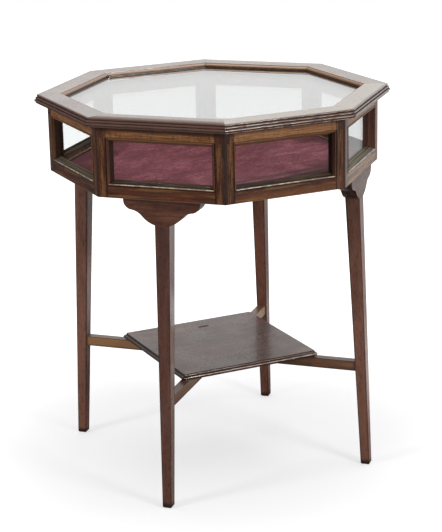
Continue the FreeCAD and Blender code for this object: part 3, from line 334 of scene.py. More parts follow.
def plate_glass(name, mirrors, edge_tint, flaw):
    """Clear glass: light goes straight through, and the mirror grows as the view gets lower. mirrors lists how
    strong it is at a few slants, from 0, straight on, to 1, along the glass."""
    glass = Finish(name)
    ripple = glass.mottle(glass.place, 9, detail=2)
    streak = glass.mottle(glass.place, (60, 5, 60), detail=2)
    relief = glass.relief(glass.work("MULTIPLY_ADD", streak, 0.2, ripple), 0.25, flaw)
    slant = glass.add("ShaderNodeLayerWeight", {"Blend": 0.5}).outputs["Facing"]
    mirror = glass.shade(slant, *((position, (share, share, share, 1)) for position, share in mirrors))
    haze = glass.ease(glass.mottle(glass.place, 130, detail=4), 0.35, 0.75, 0.012, 0.05)
    clear = glass.add("ShaderNodeBsdfTransparent", {"Color": edge_tint})
    fed = {"Base Color": (1, 1, 1, 1), "Metallic": 1.0, "Roughness": haze, "Normal": relief}
    shine = glass.add("ShaderNodeBsdfPrincipled", fed)
    return glass.finished("ShaderNodeMixShader", {0: mirror, 1: clear.outputs[0], 2: shine.outputs[0]})


slants = ((0.0, 0.02), (0.45, 0.045), (0.66, 0.24), (0.74, 0.44), (0.81, 0.66), (1.0, 1.0))
dress(plate_glass("lid_plate_glass", slants, (0.97, 0.985, 0.978, 1), 0.0005), "lid_glass")

# ----------------------------------------------------------------------
# The case's eight corner posts: mahogany stiles, grain upright, their faces banded with a golden strip between a
# dark arris and the painted shadow of the bead beside the window. The glue line runs up the arris; on the front
# right post a blotchy stripe of painted shade runs beside it, and the tops are darkened by the lid's painted shadow.
# ----------------------------------------------------------------------
post_names = (
    "right_back",
    "back_right",
    "back_left",
    "left_back",
    "left_front",
    "front_left",
    "front_right",
    "right_front",
)
window_low, window_high = (corner.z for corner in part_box("window_cock_beads"))
case_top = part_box("top_rail_front")[1].z
# Across a post's face, from its arris: the golden band and the painted shadow of the bead.
band_from, band_to = 0.0050, 0.0150
bead_shadow_from, bead_shadow_to = 0.0165, 0.0190
post = Finish("post_polish")
turned, number = post.turned_to_side(8, first=22.5)
along, up = post.apart(turned)[1:]
mahogany(post, board_from(post, turned, number, "upright"), (55, 30, 22), (76, 43, 29), (110, 70, 42))
from_arris = post.work("DIVIDE", post.work("ABSOLUTE", along), math.cos(half_turn))
waver = post.mottle(turned, (40, 40, 22), detail=2)
from_arris = post.work("ADD", from_arris, post.work("MULTIPLY_ADD", waver, 0.0016, -0.0008))
upright_band = post.strip(from_arris, band_from, band_to, 0.0016)
level_band = post.strip(up, window_high + 0.0005, window_high + 0.0115, 0.0012)
level_band = post.times(level_band, post.ease(from_arris, band_from + 0.0030, band_to - 0.0020))
over_window = post.ease(up, window_high - 0.0010, window_high + 0.0010)
golden = post.lay(over_window, upright_band, level_band)
post.rub_in((146, 98, 54), golden, post.ease(post.fibre, 0.40, 0.62, 0.0, 0.65))
flecks = post.mottle(turned, (300, 300, 170), detail=2)
post.rub_in((46, 26, 19), post.ease(flecks, 0.50, 0.66, 0.0, 0.45))
# Painted shadow of the cock bead on the strip beside the window.
bead_shadow = post.strip(from_arris, bead_shadow_from, bead_shadow_to, 0.0007)
post.rub_in((40, 21, 17), bead_shadow, post.all_but(over_window), 0.75)
arris = post.ease(from_arris, 0.0016, 0.0004)
# On the front right post, a blotchy stripe of painted shade is added beside the glue line.
darker_post = post.only(number, post_names.index("front_right"))
blotchy = post.ease(post.mottle(turned, (120, 120, 60)), 0.36, 0.56, 0.35, 1.0)
shaded_stripe = post.times(darker_post, blotchy, post.ease(from_arris, 0.0062, 0.0048))
arris = post.work("MAXIMUM", arris, shaded_stripe)
post.rub_in((38, 21, 18), arris, 0.75)
# Painted shadow of the lid's overhang at the top of the posts.
lid_shadow = post.ease(up, case_top - 0.0105, case_top - 0.0015)
post.rub_in((40, 23, 18), lid_shadow, 0.6)
coat = post.work("MULTIPLY_ADD", arris, -0.40, 0.45)
post_polish = french_polish(post, gloss=0.22, coat=coat, ripple=0.35, dull=post.times(arris, 0.3), body=0.3)
dress(post_polish, *(f"corner_post_{name}" for name in post_names))

# ----------------------------------------------------------------------
# The rails over the windows: mahogany, tenoned into the posts. A golden band runs along the lower half, beside the
# bead; the strip that the lid overhangs is darkened with its painted shadow, and the front right rail is painted
# paler towards the lamp.
# ----------------------------------------------------------------------
# Down the rail's face, from its top edge.
band_high, band_low, bead_at = 0.0105, 0.0235, 0.0216
top_rail = Finish("top_rail_polish")
turned, number = top_rail.turned_to_side(8)
up = top_rail.apart(turned)[2]
mahogany(top_rail, board_from(top_rail, turned, number, "along"), (80, 46, 34), (104, 64, 44), (134, 88, 56))
true_down = top_rail.work("SUBTRACT", case_top, up)
waver = top_rail.mottle(turned, (40, 16, 40), detail=2)
down = top_rail.work("ADD", true_down, top_rail.work("MULTIPLY_ADD", waver, 0.003, -0.0015))
streaky = top_rail.ease(top_rail.fibre, 0.36, 0.62, 0.20, 0.95)
top_rail.rub_in((164, 112, 64), top_rail.strip(down, band_high, band_low, 0.0014), streaky)
# Painted shadow of the lid's overhang along the top of the rail.
lid_shadow = top_rail.ease(down, 0.0100, 0.0020)
top_rail.rub_in((44, 25, 19), lid_shadow, 0.6)
beside_bead = top_rail.ease(true_down, bead_at - 0.0008, bead_at)
top_rail.rub_in((46, 26, 20), beside_bead, 0.2)
flecks = top_rail.mottle(turned, (300, 300, 110), detail=2)
top_rail.rub_in((58, 34, 24), top_rail.ease(flecks, 0.50, 0.66, 0.0, 0.45))
# Painted light: the front right rail is painted paler towards the lamp.
lamp_lit_rail = top_rail.times(top_rail.only(number, sides.index("front_right")), top_rail.ease(down, 0.0040, 0.0100))
top_rail.rub_in((172, 122, 76), lamp_lit_rail, streaky, 0.5)
dress(
    french_polish(top_rail, gloss=0.22, coat=0.45, ripple=0.35, body=0.3),
    *(f"top_rail_{side}" for side in sides),
)

# ----------------------------------------------------------------------
# The rails under the windows: as the top ones, with a painted shadow under the sill bead, some cross figure, and the
# lower edge rubbed by hands that lift the table. The right and front right rails are painted paler towards the lamp.
# ----------------------------------------------------------------------
rail_low, rail_high = (corner.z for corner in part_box("bottom_rail_front"))
half_window = 0.0993
low_rail = Finish("bottom_rail_polish")
turned, number = low_rail.turned_to_side(8)
along, up = low_rail.apart(turned)[1:]
mahogany(low_rail, board_from(low_rail, turned, number, "along"), (40, 21, 15), (56, 31, 20), (86, 52, 29))
ticks = low_rail.mottle(turned, (200, 420, 26), detail=2)
low_rail.rub_in((58, 32, 26), low_rail.ease(ticks, 0.48, 0.66, 0.0, 0.55))
redder = low_rail.mottle(turned, (20, 7, 60))
low_rail.rub_in((112, 54, 32), low_rail.ease(redder, 0.48, 0.62, 0.0, 0.4))
gilded = low_rail.mottle(turned, (30, 9, 260))
low_rail.rub_in((140, 96, 50), low_rail.ease(gilded, 0.52, 0.64, 0.0, 0.5))
# Painted light: the right and front right rails are painted paler and more golden towards the lamp.
lamp_lit_right = low_rail.only(number, sides.index("right"))
low_rail.rub_in((176, 132, 78), lamp_lit_right, low_rail.ease(gilded, 0.36, 0.56), 0.6)
lamp_lit_front_right = low_rail.only(number, sides.index("front_right"))
low_rail.rub_in((128, 80, 38), lamp_lit_front_right, low_rail.ease(up, rail_high - 0.006, rail_low + 0.006), 0.45)
# Painted shadow under the nose of the sill bead.
shadow_by_bead = low_rail.strip(up, rail_high - 0.0017, rail_high + 0.001, 0.0004)
low_rail.rub_in((36, 20, 16), shadow_by_bead, 0.75)
handled_edge = low_rail.strip(up, rail_low - 0.001, rail_low + 0.0011, 0.0005)
low_rail.rub_in((140, 102, 76), handled_edge, 0.6)
shoulder = low_rail.ease(low_rail.work("ABSOLUTE", along), half_window - 0.0006, half_window)
low_rail.rub_in((36, 20, 16), shoulder, 0.35)
dress(
    french_polish(low_rail, gloss=0.22, coat=0.5, ripple=0.35, body=0.3),
    *(f"bottom_rail_{side}" for side in sides),
)

# ----------------------------------------------------------------------
# Cock beads round the windows outside and glazing beads inside: thin mahogany strips, mitred, glued and pinned. The
# outer ones have a bevel up to the pane and a round nose, with a painted highlight along the sills; the corners hold
# dirt. Painted shade lies on the jambs and under the bead's nose, and the sills of the front left and right windows
# carry painted reflections.
# ----------------------------------------------------------------------
bead_width, nose_from = 0.0105, 0.2836
bevel_from, bevel_to = 0.2775, 0.2825
bead = Finish("bead_polish")
turned, number = bead.turned_to_side(8)
outward, along, up = bead.apart(turned)
mahogany(bead, board_from(bead, turned, number, "upright"), (62, 34, 26), (92, 56, 40), (128, 84, 52))
upright_colour = bead.colour
mahogany(bead, board_from(bead, turned, number, "along"), (60, 34, 26), (84, 50, 36), (112, 74, 50))
above_sill = bead.work("SUBTRACT", up, window_low)
from_head = bead.work("SUBTRACT", window_high, up)
from_end = bead.work("SUBTRACT", half_window, bead.work("ABSOLUTE", along))
nearer_level = bead.work("MINIMUM", above_sill, from_head)
upright = bead.ease(bead.work("SUBTRACT", nearer_level, from_end), -0.0001, 0.0001)
bead.rub_in(upright_colour, upright)
level = bead.all_but(upright)
sill = bead.times(level, bead.ease(above_sill, bead_width + 0.0005, bead_width - 0.0005))
head = bead.times(level, bead.ease(from_head, bead_width + 0.0005, bead_width - 0.0005))
nose = bead.ease(outward, nose_from - 0.0004, nose_from + 0.0004)
bevel = bead.all_but(nose)
# Painted highlight along the sill bead's nose, broken in places.
crest = bead.times(nose, bead.ease(above_sill, 0.0010, 0.0018))
glint_breaks = bead.ease(bead.mottle(turned, (40, 70, 40)), 0.40, 0.60, 0.35, 0.9)
bead.rub_in((206, 184, 164), sill, crest, glint_breaks)
streaks = bead.mottle(turned, (700, 18, 700), detail=2)
streaks = bead.shade(streaks, (0.38, stain(22, 16, 12)), (0.64, stain(76, 58, 34)))
sill_bevel = bead.times(sill, bevel)
bead.rub_in(streaks, sill_bevel, 0.9)
bead.rub_in((16, 11, 9), sill_bevel, bead.ease(outward, bevel_from, bevel_to), 0.85)
# Painted reflections: pale streaks on the sill bevels of the front left and right windows.
on_left = bead.only(number, sides.index("front_left"))
reflecting_sides = bead.work("MULTIPLY_ADD", on_left, 0.5, bead.only(number, sides.index("right")))
reflection_stripes = bead.ease(bead.mottle(turned, (900, 6, 900), detail=1), 0.42, 0.56)
bead.rub_in((150, 146, 126), reflecting_sides, sill_bevel, reflection_stripes, 0.6)
bead.rub_in((142, 100, 72), head, 0.6)
# Painted shade on the left jambs, and black painted shadow on the front right window's right jamb.
shaded_left_jamb = bead.times(upright, bevel, bead.ease(along, 0.01, -0.01))
bead.rub_in((20, 12, 11), shaded_left_jamb, bead.ease(outward, bevel_to, bevel_to - 0.0030, 0.2, 0.85))
shaded_right_jamb = bead.times(upright, bead.ease(along, -0.01, 0.01), bead.only(number, sides.index("front_right")))
bead.rub_in((14, 9, 9), shaded_right_jamb, bead.ease(outward, bevel_from + 0.0031, bevel_from + 0.0015), 0.92)
# Painted shadow along the bead's outer edge at the sill and jambs, not at the head.
nearest = bead.work("MINIMUM", nearer_level, from_end)
shadow_by_bead = bead.times(bead.ease(outward, nose_from + 0.0010, nose_from + 0.0002), bead.ease(nearest, 0.0009, 0.0004))
bead.rub_in((24, 14, 11), shadow_by_bead, bead.all_but(head), 0.85)
corner = bead.times(
    bead.ease(bead.off(from_end, nearer_level), 0.0016, 0.0003),
    bead.ease(from_end, bead_width + 0.0005, bead_width - 0.0005),
)
bead.rub_in((30, 18, 14), corner, 0.6)
rubbed_up = bead.times(nose, 0.9, bead.all_but(head))
dress(
    french_polish(bead, gloss=0.14, coat=rubbed_up, ripple=0.35, dull=bead.times(bevel, 0.34), body=0.18),
    "window_cock_beads",
    "window_glazing_beads",
)

# ----------------------------------------------------------------------
# The eight window panes: thin sheet glass, bedded between the two beads. Clearer than the lid's, and with a weaker
# mirror until it is seen very low.
# ----------------------------------------------------------------------
slants = ((0.0, 0.02), (0.45, 0.04), (0.67, 0.08), (0.76, 0.40), (0.82, 0.52), (1.0, 1.0))
dress(plate_glass("window_sheet_glass", slants, (0.98, 0.99, 0.985, 1), 0.0004), "side_glass_panes")

# ----------------------------------------------------------------------
# The floor of the case: a plain panel, jointed up from three boards of secondary timber and tongued into the rails.
# It was planed but never polished, and has gone grey in patches.
# ----------------------------------------------------------------------
half_floor, board_width = 0.2645, 0.1764
timber = Finish("floor_board_timber")
x, y, z = timber.apart(timber.place)
rings = timber.work("MULTIPLY_ADD", timber.mottle(timber.place, 2.2, detail=2), 0.05, y)
rings = timber.mottle(timber.together(x, rings, z), (2.0, 95, 2.0), detail=4)
fibre = timber.mottle(timber.place, (24, 900, 24), detail=2)
plane_marks = timber.mottle(timber.place, (160, 2.5, 2.5), detail=1)
tones = (0.36, stain(124, 92, 64)), (0.52, stain(160, 126, 90)), (0.66, stain(184, 150, 110))
timber.colour = timber.shade(rings, *tones)
timber.rub_in((100, 72, 50), timber.ease(fibre, 0.5, 0.75, 0.0, 0.35))
aged = timber.mottle(timber.place, 6, detail=4)
timber.rub_in((112, 98, 84), timber.ease(aged, 0.42, 0.72, 0.0, 0.4))
to_joint = timber.work("PINGPONG", timber.work("ADD", y, half_floor), board_width / 2)
joint_line = timber.ease(to_joint, 0.0009, 0.0003)
timber.rub_in((50, 36, 26), joint_line, 0.6)
height = timber.work("SUBTRACT", timber.work("MULTIPLY_ADD", fibre, 0.5, plane_marks), joint_line)
fed = {
    "Base Color": timber.colour,
    "Roughness": timber.ease(fibre, 0.3, 0.7, 0.66, 0.84),
    "Specular IOR Level": 0.3,
    "Normal": timber.relief(height, 0.4, 0.0005),
}
dress(timber.finished("ShaderNodeBsdfPrincipled", fed), "base_board")

# ----------------------------------------------------------------------
# The lining: maroon velvet turned over a thin wadded board and dropped into the case. It is puffed a little by its
# wadding and sinks unevenly along the walls, with painted shade beside them; at the front right a painted fold
# shadow runs into a black painted shadow in the corner, and its pile has brushed patches.
# ----------------------------------------------------------------------
pad_low, pad_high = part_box("velvet_lining")
puff, clearance = 0.0011, 0.0004
plan_reach = (pad_high.x - puff - clearance) / math.cos(half_turn)
bearings = [half_turn * (2 * corner + 1) for corner in range(8)]
shape = bmesh.new()
rings_of_pad = []
for height, drawn_in in (
    (pad_low.z + puff, 0.002),
    (pad_low.z + 0.0035, 0.0),
    (pad_high.z - 0.0052, 0.0),
    (pad_high.z - 0.0028, 0.0025),
):
    reach = plan_reach - drawn_in
    ring = [shape.verts.new((reach * math.cos(bearing), reach * math.sin(bearing), height)) for bearing in bearings]
    rings_of_pad.append(ring)
shape.faces.new(reversed(rings_of_pad[0]))
shape.faces.new(rings_of_pad[-1])
for lower, upper in zip(rings_of_pad, rings_of_pad[1:]):
    for corner in range(8):
        following = (corner + 1) % 8
        shape.faces.new((lower[corner], lower[following], upper[following], upper[corner]))
lining_mesh = bpy.data.meshes.new("velvet_lining_soft")
shape.to_mesh(lining_mesh)
shape.free()
lining = set_out("velvet_lining_soft", lining_mesh)


def settled(piece):
    """The piece with its modifiers worked into its mesh."""
    bpy.context.view_layer.update()
    evaluated = piece.evaluated_get(bpy.context.evaluated_depsgraph_get())
    worked = bpy.data.meshes.new_from_object(evaluated)
    piece.modifiers.clear()
    piece.data = worked


cut = lining.modifiers.new("cut", "REMESH")
cut.mode, cut.voxel_size = "VOXEL", 0.0045
settled(lining)
before_puffing = [vertex.co.copy() for vertex in lining.data.vertices]
wadding = lining.modifiers.new("wadding", "CLOTH")
wadding.settings.quality = 4
wadding.settings.mass = 0.2
wadding.settings.tension_stiffness = wadding.settings.compression_stiffness = 12
wadding.settings.bending_stiffness = 0.4
wadding.settings.use_pressure = True
wadding.settings.uniform_pressure_force = 4
wadding.settings.effector_weights.gravity = 0
wadding.point_cache.frame_start, wadding.point_cache.frame_end = 1, 20
for tick in range(1, 21):
    bpy.context.scene.frame_set(tick)
settled(lining)
bpy.context.scene.frame_set(1)
for vertex, before in zip(lining.data.vertices, before_puffing):
    moved = vertex.co - before
    if moved.length > puff:
        vertex.co = before + moved * (puff / moved.length)
for vertex in lining.data.vertices:
    place = vertex.co
    bearing = math.atan2(place.y, place.x)
    side_bearing = round(bearing / (2 * half_turn)) * 2 * half_turn
    from_wall = pad_high.x - place.length * math.cos(bearing - side_bearing)
    upper = min(1.0, max(0.0, (place.z - pad_low.z - 0.003) / 0.004))
    loose = noise.noise(Vector((place.x * 9, place.y * 9, 0.3)))
    creases = noise.noise(Vector((place.x * 26, place.y * 26, 4.1)))
    sunk = max(0.0, 1 - from_wall / (0.020 + 0.012 * noise.noise(Vector((place.x * 17, place.y * 17, 7.7)))))
    place.z += upper * (0.0008 * loose + 0.0004 * creases - 0.0022 * sunk * sunk)
smooth = lining.modifiers.new("smooth", "SUBSURF")
smooth.levels = smooth.render_levels = 1
settled(lining)
for vertex in lining.data.vertices:
    vertex.co.z = min(max(vertex.co.z, pad_low.z), pad_high.z - 0.0001)
lining.data.shade_smooth()

wall_shade_from, wall_shade_to = 0.2400, 0.2580
fold_shadow_from, fold_shadow_to = 0.1950, 0.2110
corner_shadow_from, corner_shadow_to = 0.2170, 0.2230
velvet = Finish("maroon_velvet")
outward = velvet.apart(velvet.turned_to_side(8)[0])[0]
brushed = velvet.mottle(velvet.place, (34, 13, 34), detail=4, twist=0.8)
slanting = velvet.swung(32)
strokes = velvet.mottle(slanting, (46, 15, 46), detail=5, roughness=0.65, twist=1.0)
tufts = velvet.mottle(slanting, (330, 150, 330), roughness=0.7, twist=0.6)
pile = velvet.mottle(velvet.place, 1500, detail=1)
nap = velvet.work("MULTIPLY_ADD", strokes, 0.42, velvet.times(brushed, 0.28))
nap = velvet.work("SUBTRACT", velvet.work("MULTIPLY_ADD", tufts, 0.60, nap), 0.15)
velvet.colour = velvet.shade(nap, (0.39, stain(66, 24, 31)), (0.50, stain(97, 42, 51)), (0.61, stain(138, 78, 88)))
velvet.rub_in((88, 30, 38), velvet.ease(pile, 0.35, 0.75, 0.0, 0.30))
lint = velvet.mottle(velvet.place, 420, detail=1)
velvet.rub_in((200, 160, 160), velvet.ease(lint, 0.74, 0.80, 0.0, 0.5))
wavering = velvet.mottle(velvet.place, 6.5)
# Painted shade along the walls, where the lining sinks.
wall_shade = velvet.work("MULTIPLY_ADD", velvet.ease(wavering, 0.36, 0.62), 0.075, outward)
velvet.rub_in((66, 18, 26), velvet.ease(wall_shade, wall_shade_from, wall_shade_to), 0.62)
# At the front right, a painted fold shadow and a black painted shadow in the corner, fading towards the middle.
x, y = velvet.apart(velvet.place)[:2]
beside = velvet.times(velvet.work("ADD", x, y), math.sqrt(0.5))
fold_place = velvet.times(velvet.work("SUBTRACT", x, y), math.sqrt(0.5))
fold_place = velvet.work("MULTIPLY_ADD", beside, 0.145, velvet.work("MULTIPLY_ADD", wavering, 0.03, fold_place))
fades = velvet.ease(beside, 0.16, 0.13)
velvet.rub_in((38, 12, 19), velvet.strip(fold_place, fold_shadow_from, fold_shadow_to, 0.0030), fades, 0.8)
velvet.rub_in((24, 9, 12), velvet.ease(fold_place, corner_shadow_from, corner_shadow_to), fades, 0.95)
fed = {
    "Base Color": velvet.colour,
    "Roughness": velvet.ease(nap, 0.3, 0.7, 0.95, 0.75),
    "Specular IOR Level": 0.1,
    "Sheen Weight": 0.35,
    "Sheen Roughness": 0.4,
    "Sheen Tint": stain(214, 150, 160),
    "Normal": velvet.relief(velvet.work("MULTIPLY_ADD", pile, 0.35, nap), 0.5, 0.0014),
}
lining.data.materials.clear()
lining.data.materials.append(velvet.finished("ShaderNodeBsdfPrincipled", fed))
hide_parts("velvet_lining")
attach(lining, "table")

# ----------------------------------------------------------------------
# A pair of brass butt hinges: pressed leaves let into the lid and the case, with a pin through the knuckles. The
# brass is dull, browner where fingers never reach.
# ----------------------------------------------------------------------


def old_brass(name, bright, brown, gloss):
    """Lacquer-less brass: tarnish in clouds, fine scratches, brighter where it rubs."""
    brass = Finish(name)
    clouds = brass.mottle(brass.place, 150, detail=4)
    scratches = brass.mottle(brass.place, (160, 4200, 4200), detail=2)
    fed = {
        "Base Color": brass.shade(clouds, (0.36, stain(*brown)), (0.62, stain(*bright))),
        "Metallic": 1.0,
        "Roughness": brass.ease(clouds, 0.3, 0.7, gloss + 0.2, gloss),
        "Normal": brass.relief(scratches, 0.25, 0.0001),
    }
    return brass.finished("ShaderNodeBsdfPrincipled", fed)


hinge_brass = old_brass("hinge_brass", (206, 168, 98), (130, 96, 54), 0.28)
dress(hinge_brass, "hinge_lid_leaves", "hinge_case_leaves", "hinge_pins")

# ----------------------------------------------------------------------
# The hinge screws: three countersunk slotted brass screws to a leaf, turned home by hand, so that each slot stands
# at its own angle. One tree turns the screw and sets it at every hole.
# ----------------------------------------------------------------------
screw_brass = old_brass("screw_brass", (214, 178, 112), (140, 104, 60), 0.22)
screws = bpy.data.node_groups.new("hinge_screws", "GeometryNodeTree")
sockets = {}
for label, kind, start in (
    ("Holes", "NodeSocketGeometry", None),
    ("Head radius", "NodeSocketFloat", 0.0026),
    ("Shank radius", "NodeSocketFloat", 0.0013),
    ("Length", "NodeSocketFloat", 0.011),
    ("Thread pitch", "NodeSocketFloat", 0.0011),
    ("Slot width", "NodeSocketFloat", 0.0007),
    ("Slot depth", "NodeSocketFloat", 0.0008),
    ("Driven upwards", "NodeSocketFloat", 0.0),
    ("Slot seed", "NodeSocketInt", 7),
):
    sockets[label] = screws.interface.new_socket(name=label, in_out="INPUT", socket_type=kind)
    if start is not None:
        sockets[label].default_value = start
screws.interface.new_socket(name="Screws", in_out="OUTPUT", socket_type="NodeSocketGeometry")
lathe = Recipe(screws)
given = lathe.add("NodeGroupInput").outputs
head_radius, shank_radius, length = given["Head radius"], given["Shank radius"], given["Length"]
tip = lathe.together(0.0, 0.0, lathe.times(length, -1.0))
core = lathe.add("GeometryNodeCurvePrimitiveLine", {"End": tip}).outputs[0]
core = lathe.add("GeometryNodeResampleCurve", {"Curve": core, "Count": 61}).outputs[0]
depth = lathe.times(lathe.apart(lathe.add("GeometryNodeInputPosition").outputs[0])[2], -1.0)
head_depth = lathe.work("SUBTRACT", head_radius, shank_radius)
cone = lathe.ease(depth, 0.0, head_depth, head_radius, shank_radius, way="LINEAR")
point_from = lathe.work("MULTIPLY_ADD", shank_radius, -3.0, length)
cone = lathe.times(cone, lathe.ease(depth, point_from, length, 1.0, 0.12, way="LINEAR"))
turns = lathe.times(lathe.work("DIVIDE", depth, given["Thread pitch"]), 2 * math.pi)
thread = lathe.work("MULTIPLY_ADD", lathe.work("SINE", turns), 0.07, 0.91)
plain_neck = lathe.ease(depth, lathe.times(head_depth, 1.6), head_depth, way="LINEAR")
thread = lathe.work("MAXIMUM", thread, plain_neck)
round_bar = lathe.add("GeometryNodeCurvePrimitiveCircle", {"Resolution": 24, "Radius": 1.0}).outputs[0]
fed = {"Curve": core, "Profile Curve": round_bar, "Scale": lathe.times(cone, thread), "Fill Caps": True}
screw = lathe.add("GeometryNodeCurveToMesh", fed).outputs[0]
slot = lathe.together(lathe.times(head_radius, 2.4), given["Slot width"], lathe.times(given["Slot depth"], 2.0))
cutter = lathe.add("GeometryNodeMeshCube", {"Size": slot}).outputs[0]
fed = {"Mesh 1": screw, "Mesh 2": cutter}
screw = lathe.add("GeometryNodeMeshBoolean", fed, operation="DIFFERENCE").outputs[0]
fed = {2: 0.0, 3: math.pi, "Seed": given["Slot seed"]}
slot_turn = lathe.add("FunctionNodeRandomValue", fed, data_type="FLOAT").outputs[1]
turn = lathe.together(lathe.times(given["Driven upwards"], math.pi), 0.0, slot_turn)
fed = {"Points": given["Holes"], "Instance": screw, "Rotation": turn}
driven = lathe.add("GeometryNodeInstanceOnPoints", fed).outputs[0]
driven = lathe.add("GeometryNodeRealizeInstances", {0: driven}).outputs[0]
driven = lathe.add("GeometryNodeSetMaterial", {"Geometry": driven, "Material": screw_brass}).outputs[0]
lathe.add("NodeGroupOutput", {0: driven})
screw_pitch, hinge_centre, screw_row = 0.017, 0.065, 0.2767
for node, piece_name, body, upwards, seed in (
    ("hinge_case_screws", "slotted_case_screws", "table", 0.0, 11),
    ("hinge_lid_screws", "slotted_lid_screws", "lid", 1.0, 3),
):
    hinge_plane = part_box(node)[0].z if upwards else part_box(node)[1].z
    across = [side * (hinge_centre + step * screw_pitch) for side in (-1, 1) for step in (-1, 0, 1)]
    holes = bpy.data.meshes.new(piece_name)
    holes.from_pydata([(x, screw_row, hinge_plane) for x in across], [], [])
    piece = set_out(piece_name, holes)
    driving = piece.modifiers.new("driving", "NODES")
    driving.node_group = screws
    driving[sockets["Driven upwards"].identifier] = upwards
    driving[sockets["Slot seed"].identifier] = seed
    settled(piece)
    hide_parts(node)
    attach(piece, body)

# ----------------------------------------------------------------------
# Four bracket blocks under the case: solid mahogany, grain across, bandsawn to an ogee outline and glued to the
# bottom rails, each tenoned for its leg.
# ----------------------------------------------------------------------
leg_sides = ("right", "back", "left", "front")
bracket_face, bracket_high = 0.2841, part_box("bracket_front")[1].z
bracket = Finish("bracket_polish")
turned, number = bracket.turned_to_side(4)
outward, _, up = bracket.apart(turned)
mahogany(bracket, board_from(bracket, turned, number, "along"), (74, 42, 32), (96, 58, 42), (124, 80, 58))
# Darker along the top, where the block meets the rail.
darker_top = bracket.ease(up, bracket_high - 0.0060, bracket_high - 0.0010)
bracket.rub_in((34, 20, 16), darker_top, 0.75)
curl = bracket.mottle(turned, (40, 26, 150), detail=4, twist=1.2)
bracket.rub_in((52, 28, 21), bracket.ease(curl, 0.46, 0.62, 0.0, 0.6))
# Sawn ends and edges darker: end grain, with painted shade on the end faces.
face = bracket.ease(outward, bracket_face - 0.0006, bracket_face)
end_grain_and_shade = bracket.ease(bracket.mottle(turned, (420, 30, 30), detail=2), 0.40, 0.65, 0.55, 0.9)
bracket.rub_in((36, 20, 16), bracket.all_but(face), end_grain_and_shade)
dress(
    french_polish(bracket, gloss=0.24, coat=0.4, ripple=0.4, body=0.3),
    *(f"bracket_{side}" for side in leg_sides),
)

# ----------------------------------------------------------------------
# Four legs: square mahogany, tapered and splayed outwards, grain upright, arrises softened, toes rounded by years
# of floors. The polish is knocked pale here and there along the arrises. The right leg's outer face and the front
# leg's right face carry painted light; the tops of those two legs under the brackets and all the toes carry painted
# shade.
# ----------------------------------------------------------------------
leg_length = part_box("leg_front")[1].z
# The foot's centre lies that far out, and the leg's other end that much nearer the middle.
foot_out, drawn_in = 0.2947, 0.02475
half_foot, taper = 0.0085, 0.0099
leg = Finish("leg_polish")
turned, number = leg.turned_to_side(4)
outward, along, up = leg.apart(turned)
mahogany(leg, board_from(leg, turned, number, "upright"), (68, 38, 30), (90, 54, 42), (118, 78, 60))
of_four = leg.shade(
    leg.work("DIVIDE", number, 3.0),
    (0.0, stain(154, 108, 88)),
    (0.333, stain(140, 88, 68)),
    (0.667, stain(158, 110, 90)),
    (1.0, stain(96, 58, 46)),
)
leg.rub_in(of_four, 0.5)
half_width = leg.work("MULTIPLY_ADD", up, taper, half_foot)
centre = leg.work("MULTIPLY_ADD", up, -drawn_in / leg_length, foot_out)
from_centre = leg.work("MINIMUM", leg.off(outward, centre), leg.work("ABSOLUTE", along))
to_arris = leg.work("SUBTRACT", half_width, from_centre)
right_leg = leg.only(number, leg_sides.index("right"))
front_leg = leg.only(number, leg_sides.index("front"))
# Painted light: the right leg's outer face is painted pale.
lit_outer_face = leg.ease(leg.work("DIVIDE", leg.work("SUBTRACT", outward, centre), half_width), 0.90, 0.97)
lit_outer_face = leg.times(lit_outer_face, right_leg)
leg.rub_in((196, 160, 150), lit_outer_face, 0.5)
# Painted shade under the brackets on the right and front legs.
shade_under_bracket = leg.times(leg.work("ADD", right_leg, front_leg), leg.all_but(lit_outer_face), leg.ease(up, 0.34, 0.54))
leg.rub_in((48, 24, 20), shade_under_bracket, 0.45)
# Painted light: the front leg's right face is painted pale.
lit_right_face = leg.ease(leg.work("DIVIDE", along, half_width), 0.90, 0.97)
leg.rub_in((182, 150, 132), lit_right_face, front_leg, 0.45)
stained = leg.mottle(turned, (26, 26, 6), detail=4, roughness=0.6)
leg.rub_in((58, 33, 27), leg.ease(stained, 0.46, 0.62, 0.0, 0.45))
dark_arris = leg.ease(to_arris, 0.0028, 0.0010)
leg.rub_in((34, 19, 16), dark_arris, 0.7)
knocks = leg.ease(leg.mottle(turned, (160, 160, 70), detail=4), 0.58, 0.70)
leg.rub_in((148, 108, 84), leg.ease(to_arris, 0.0009, 0.0003), knocks, 0.5)
cloudy = leg.mottle(turned, (60, 60, 9), detail=5, roughness=0.7)
leg.rub_in((132, 88, 70), leg.ease(cloudy, 0.42, 0.66, 0.0, 0.3))
flecks = leg.mottle(turned, (260, 260, 80), detail=2)
leg.rub_in((44, 24, 19), leg.ease(flecks, 0.50, 0.66, 0.0, 0.28))
# Painted shade on the rounded toes.
shaded_toe = leg.work("MULTIPLY_ADD", leg.mottle(turned, 90), 0.006, up)
leg.rub_in((26, 16, 14), leg.ease(shaded_toe, 0.0155, 0.0080), 0.85)
scuffs = leg.mottle(turned, (130, 130, 34))
leg.rub_in((42, 24, 19), leg.ease(scuffs, 0.68, 0.74, 0.0, 0.5))
coat = leg.work("MULTIPLY_ADD", front_leg, 0.75, 0.2)
leg_polish = french_polish(leg, gloss=0.18, coat=coat, ripple=0.35)
dress(leg_polish, *(f"leg_{side}" for side in leg_sides))

# ----------------------------------------------------------------------
# The crossed stretcher: two mahogany rails halved together under the shelf and tenoned into the legs. Its polish
# has gone thin and golden, above all towards the left leg and the back one.
# ----------------------------------------------------------------------
stretcher_low, stretcher_high = (corner.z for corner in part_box("stretcher_left_right"))
at_leg = 0.2765


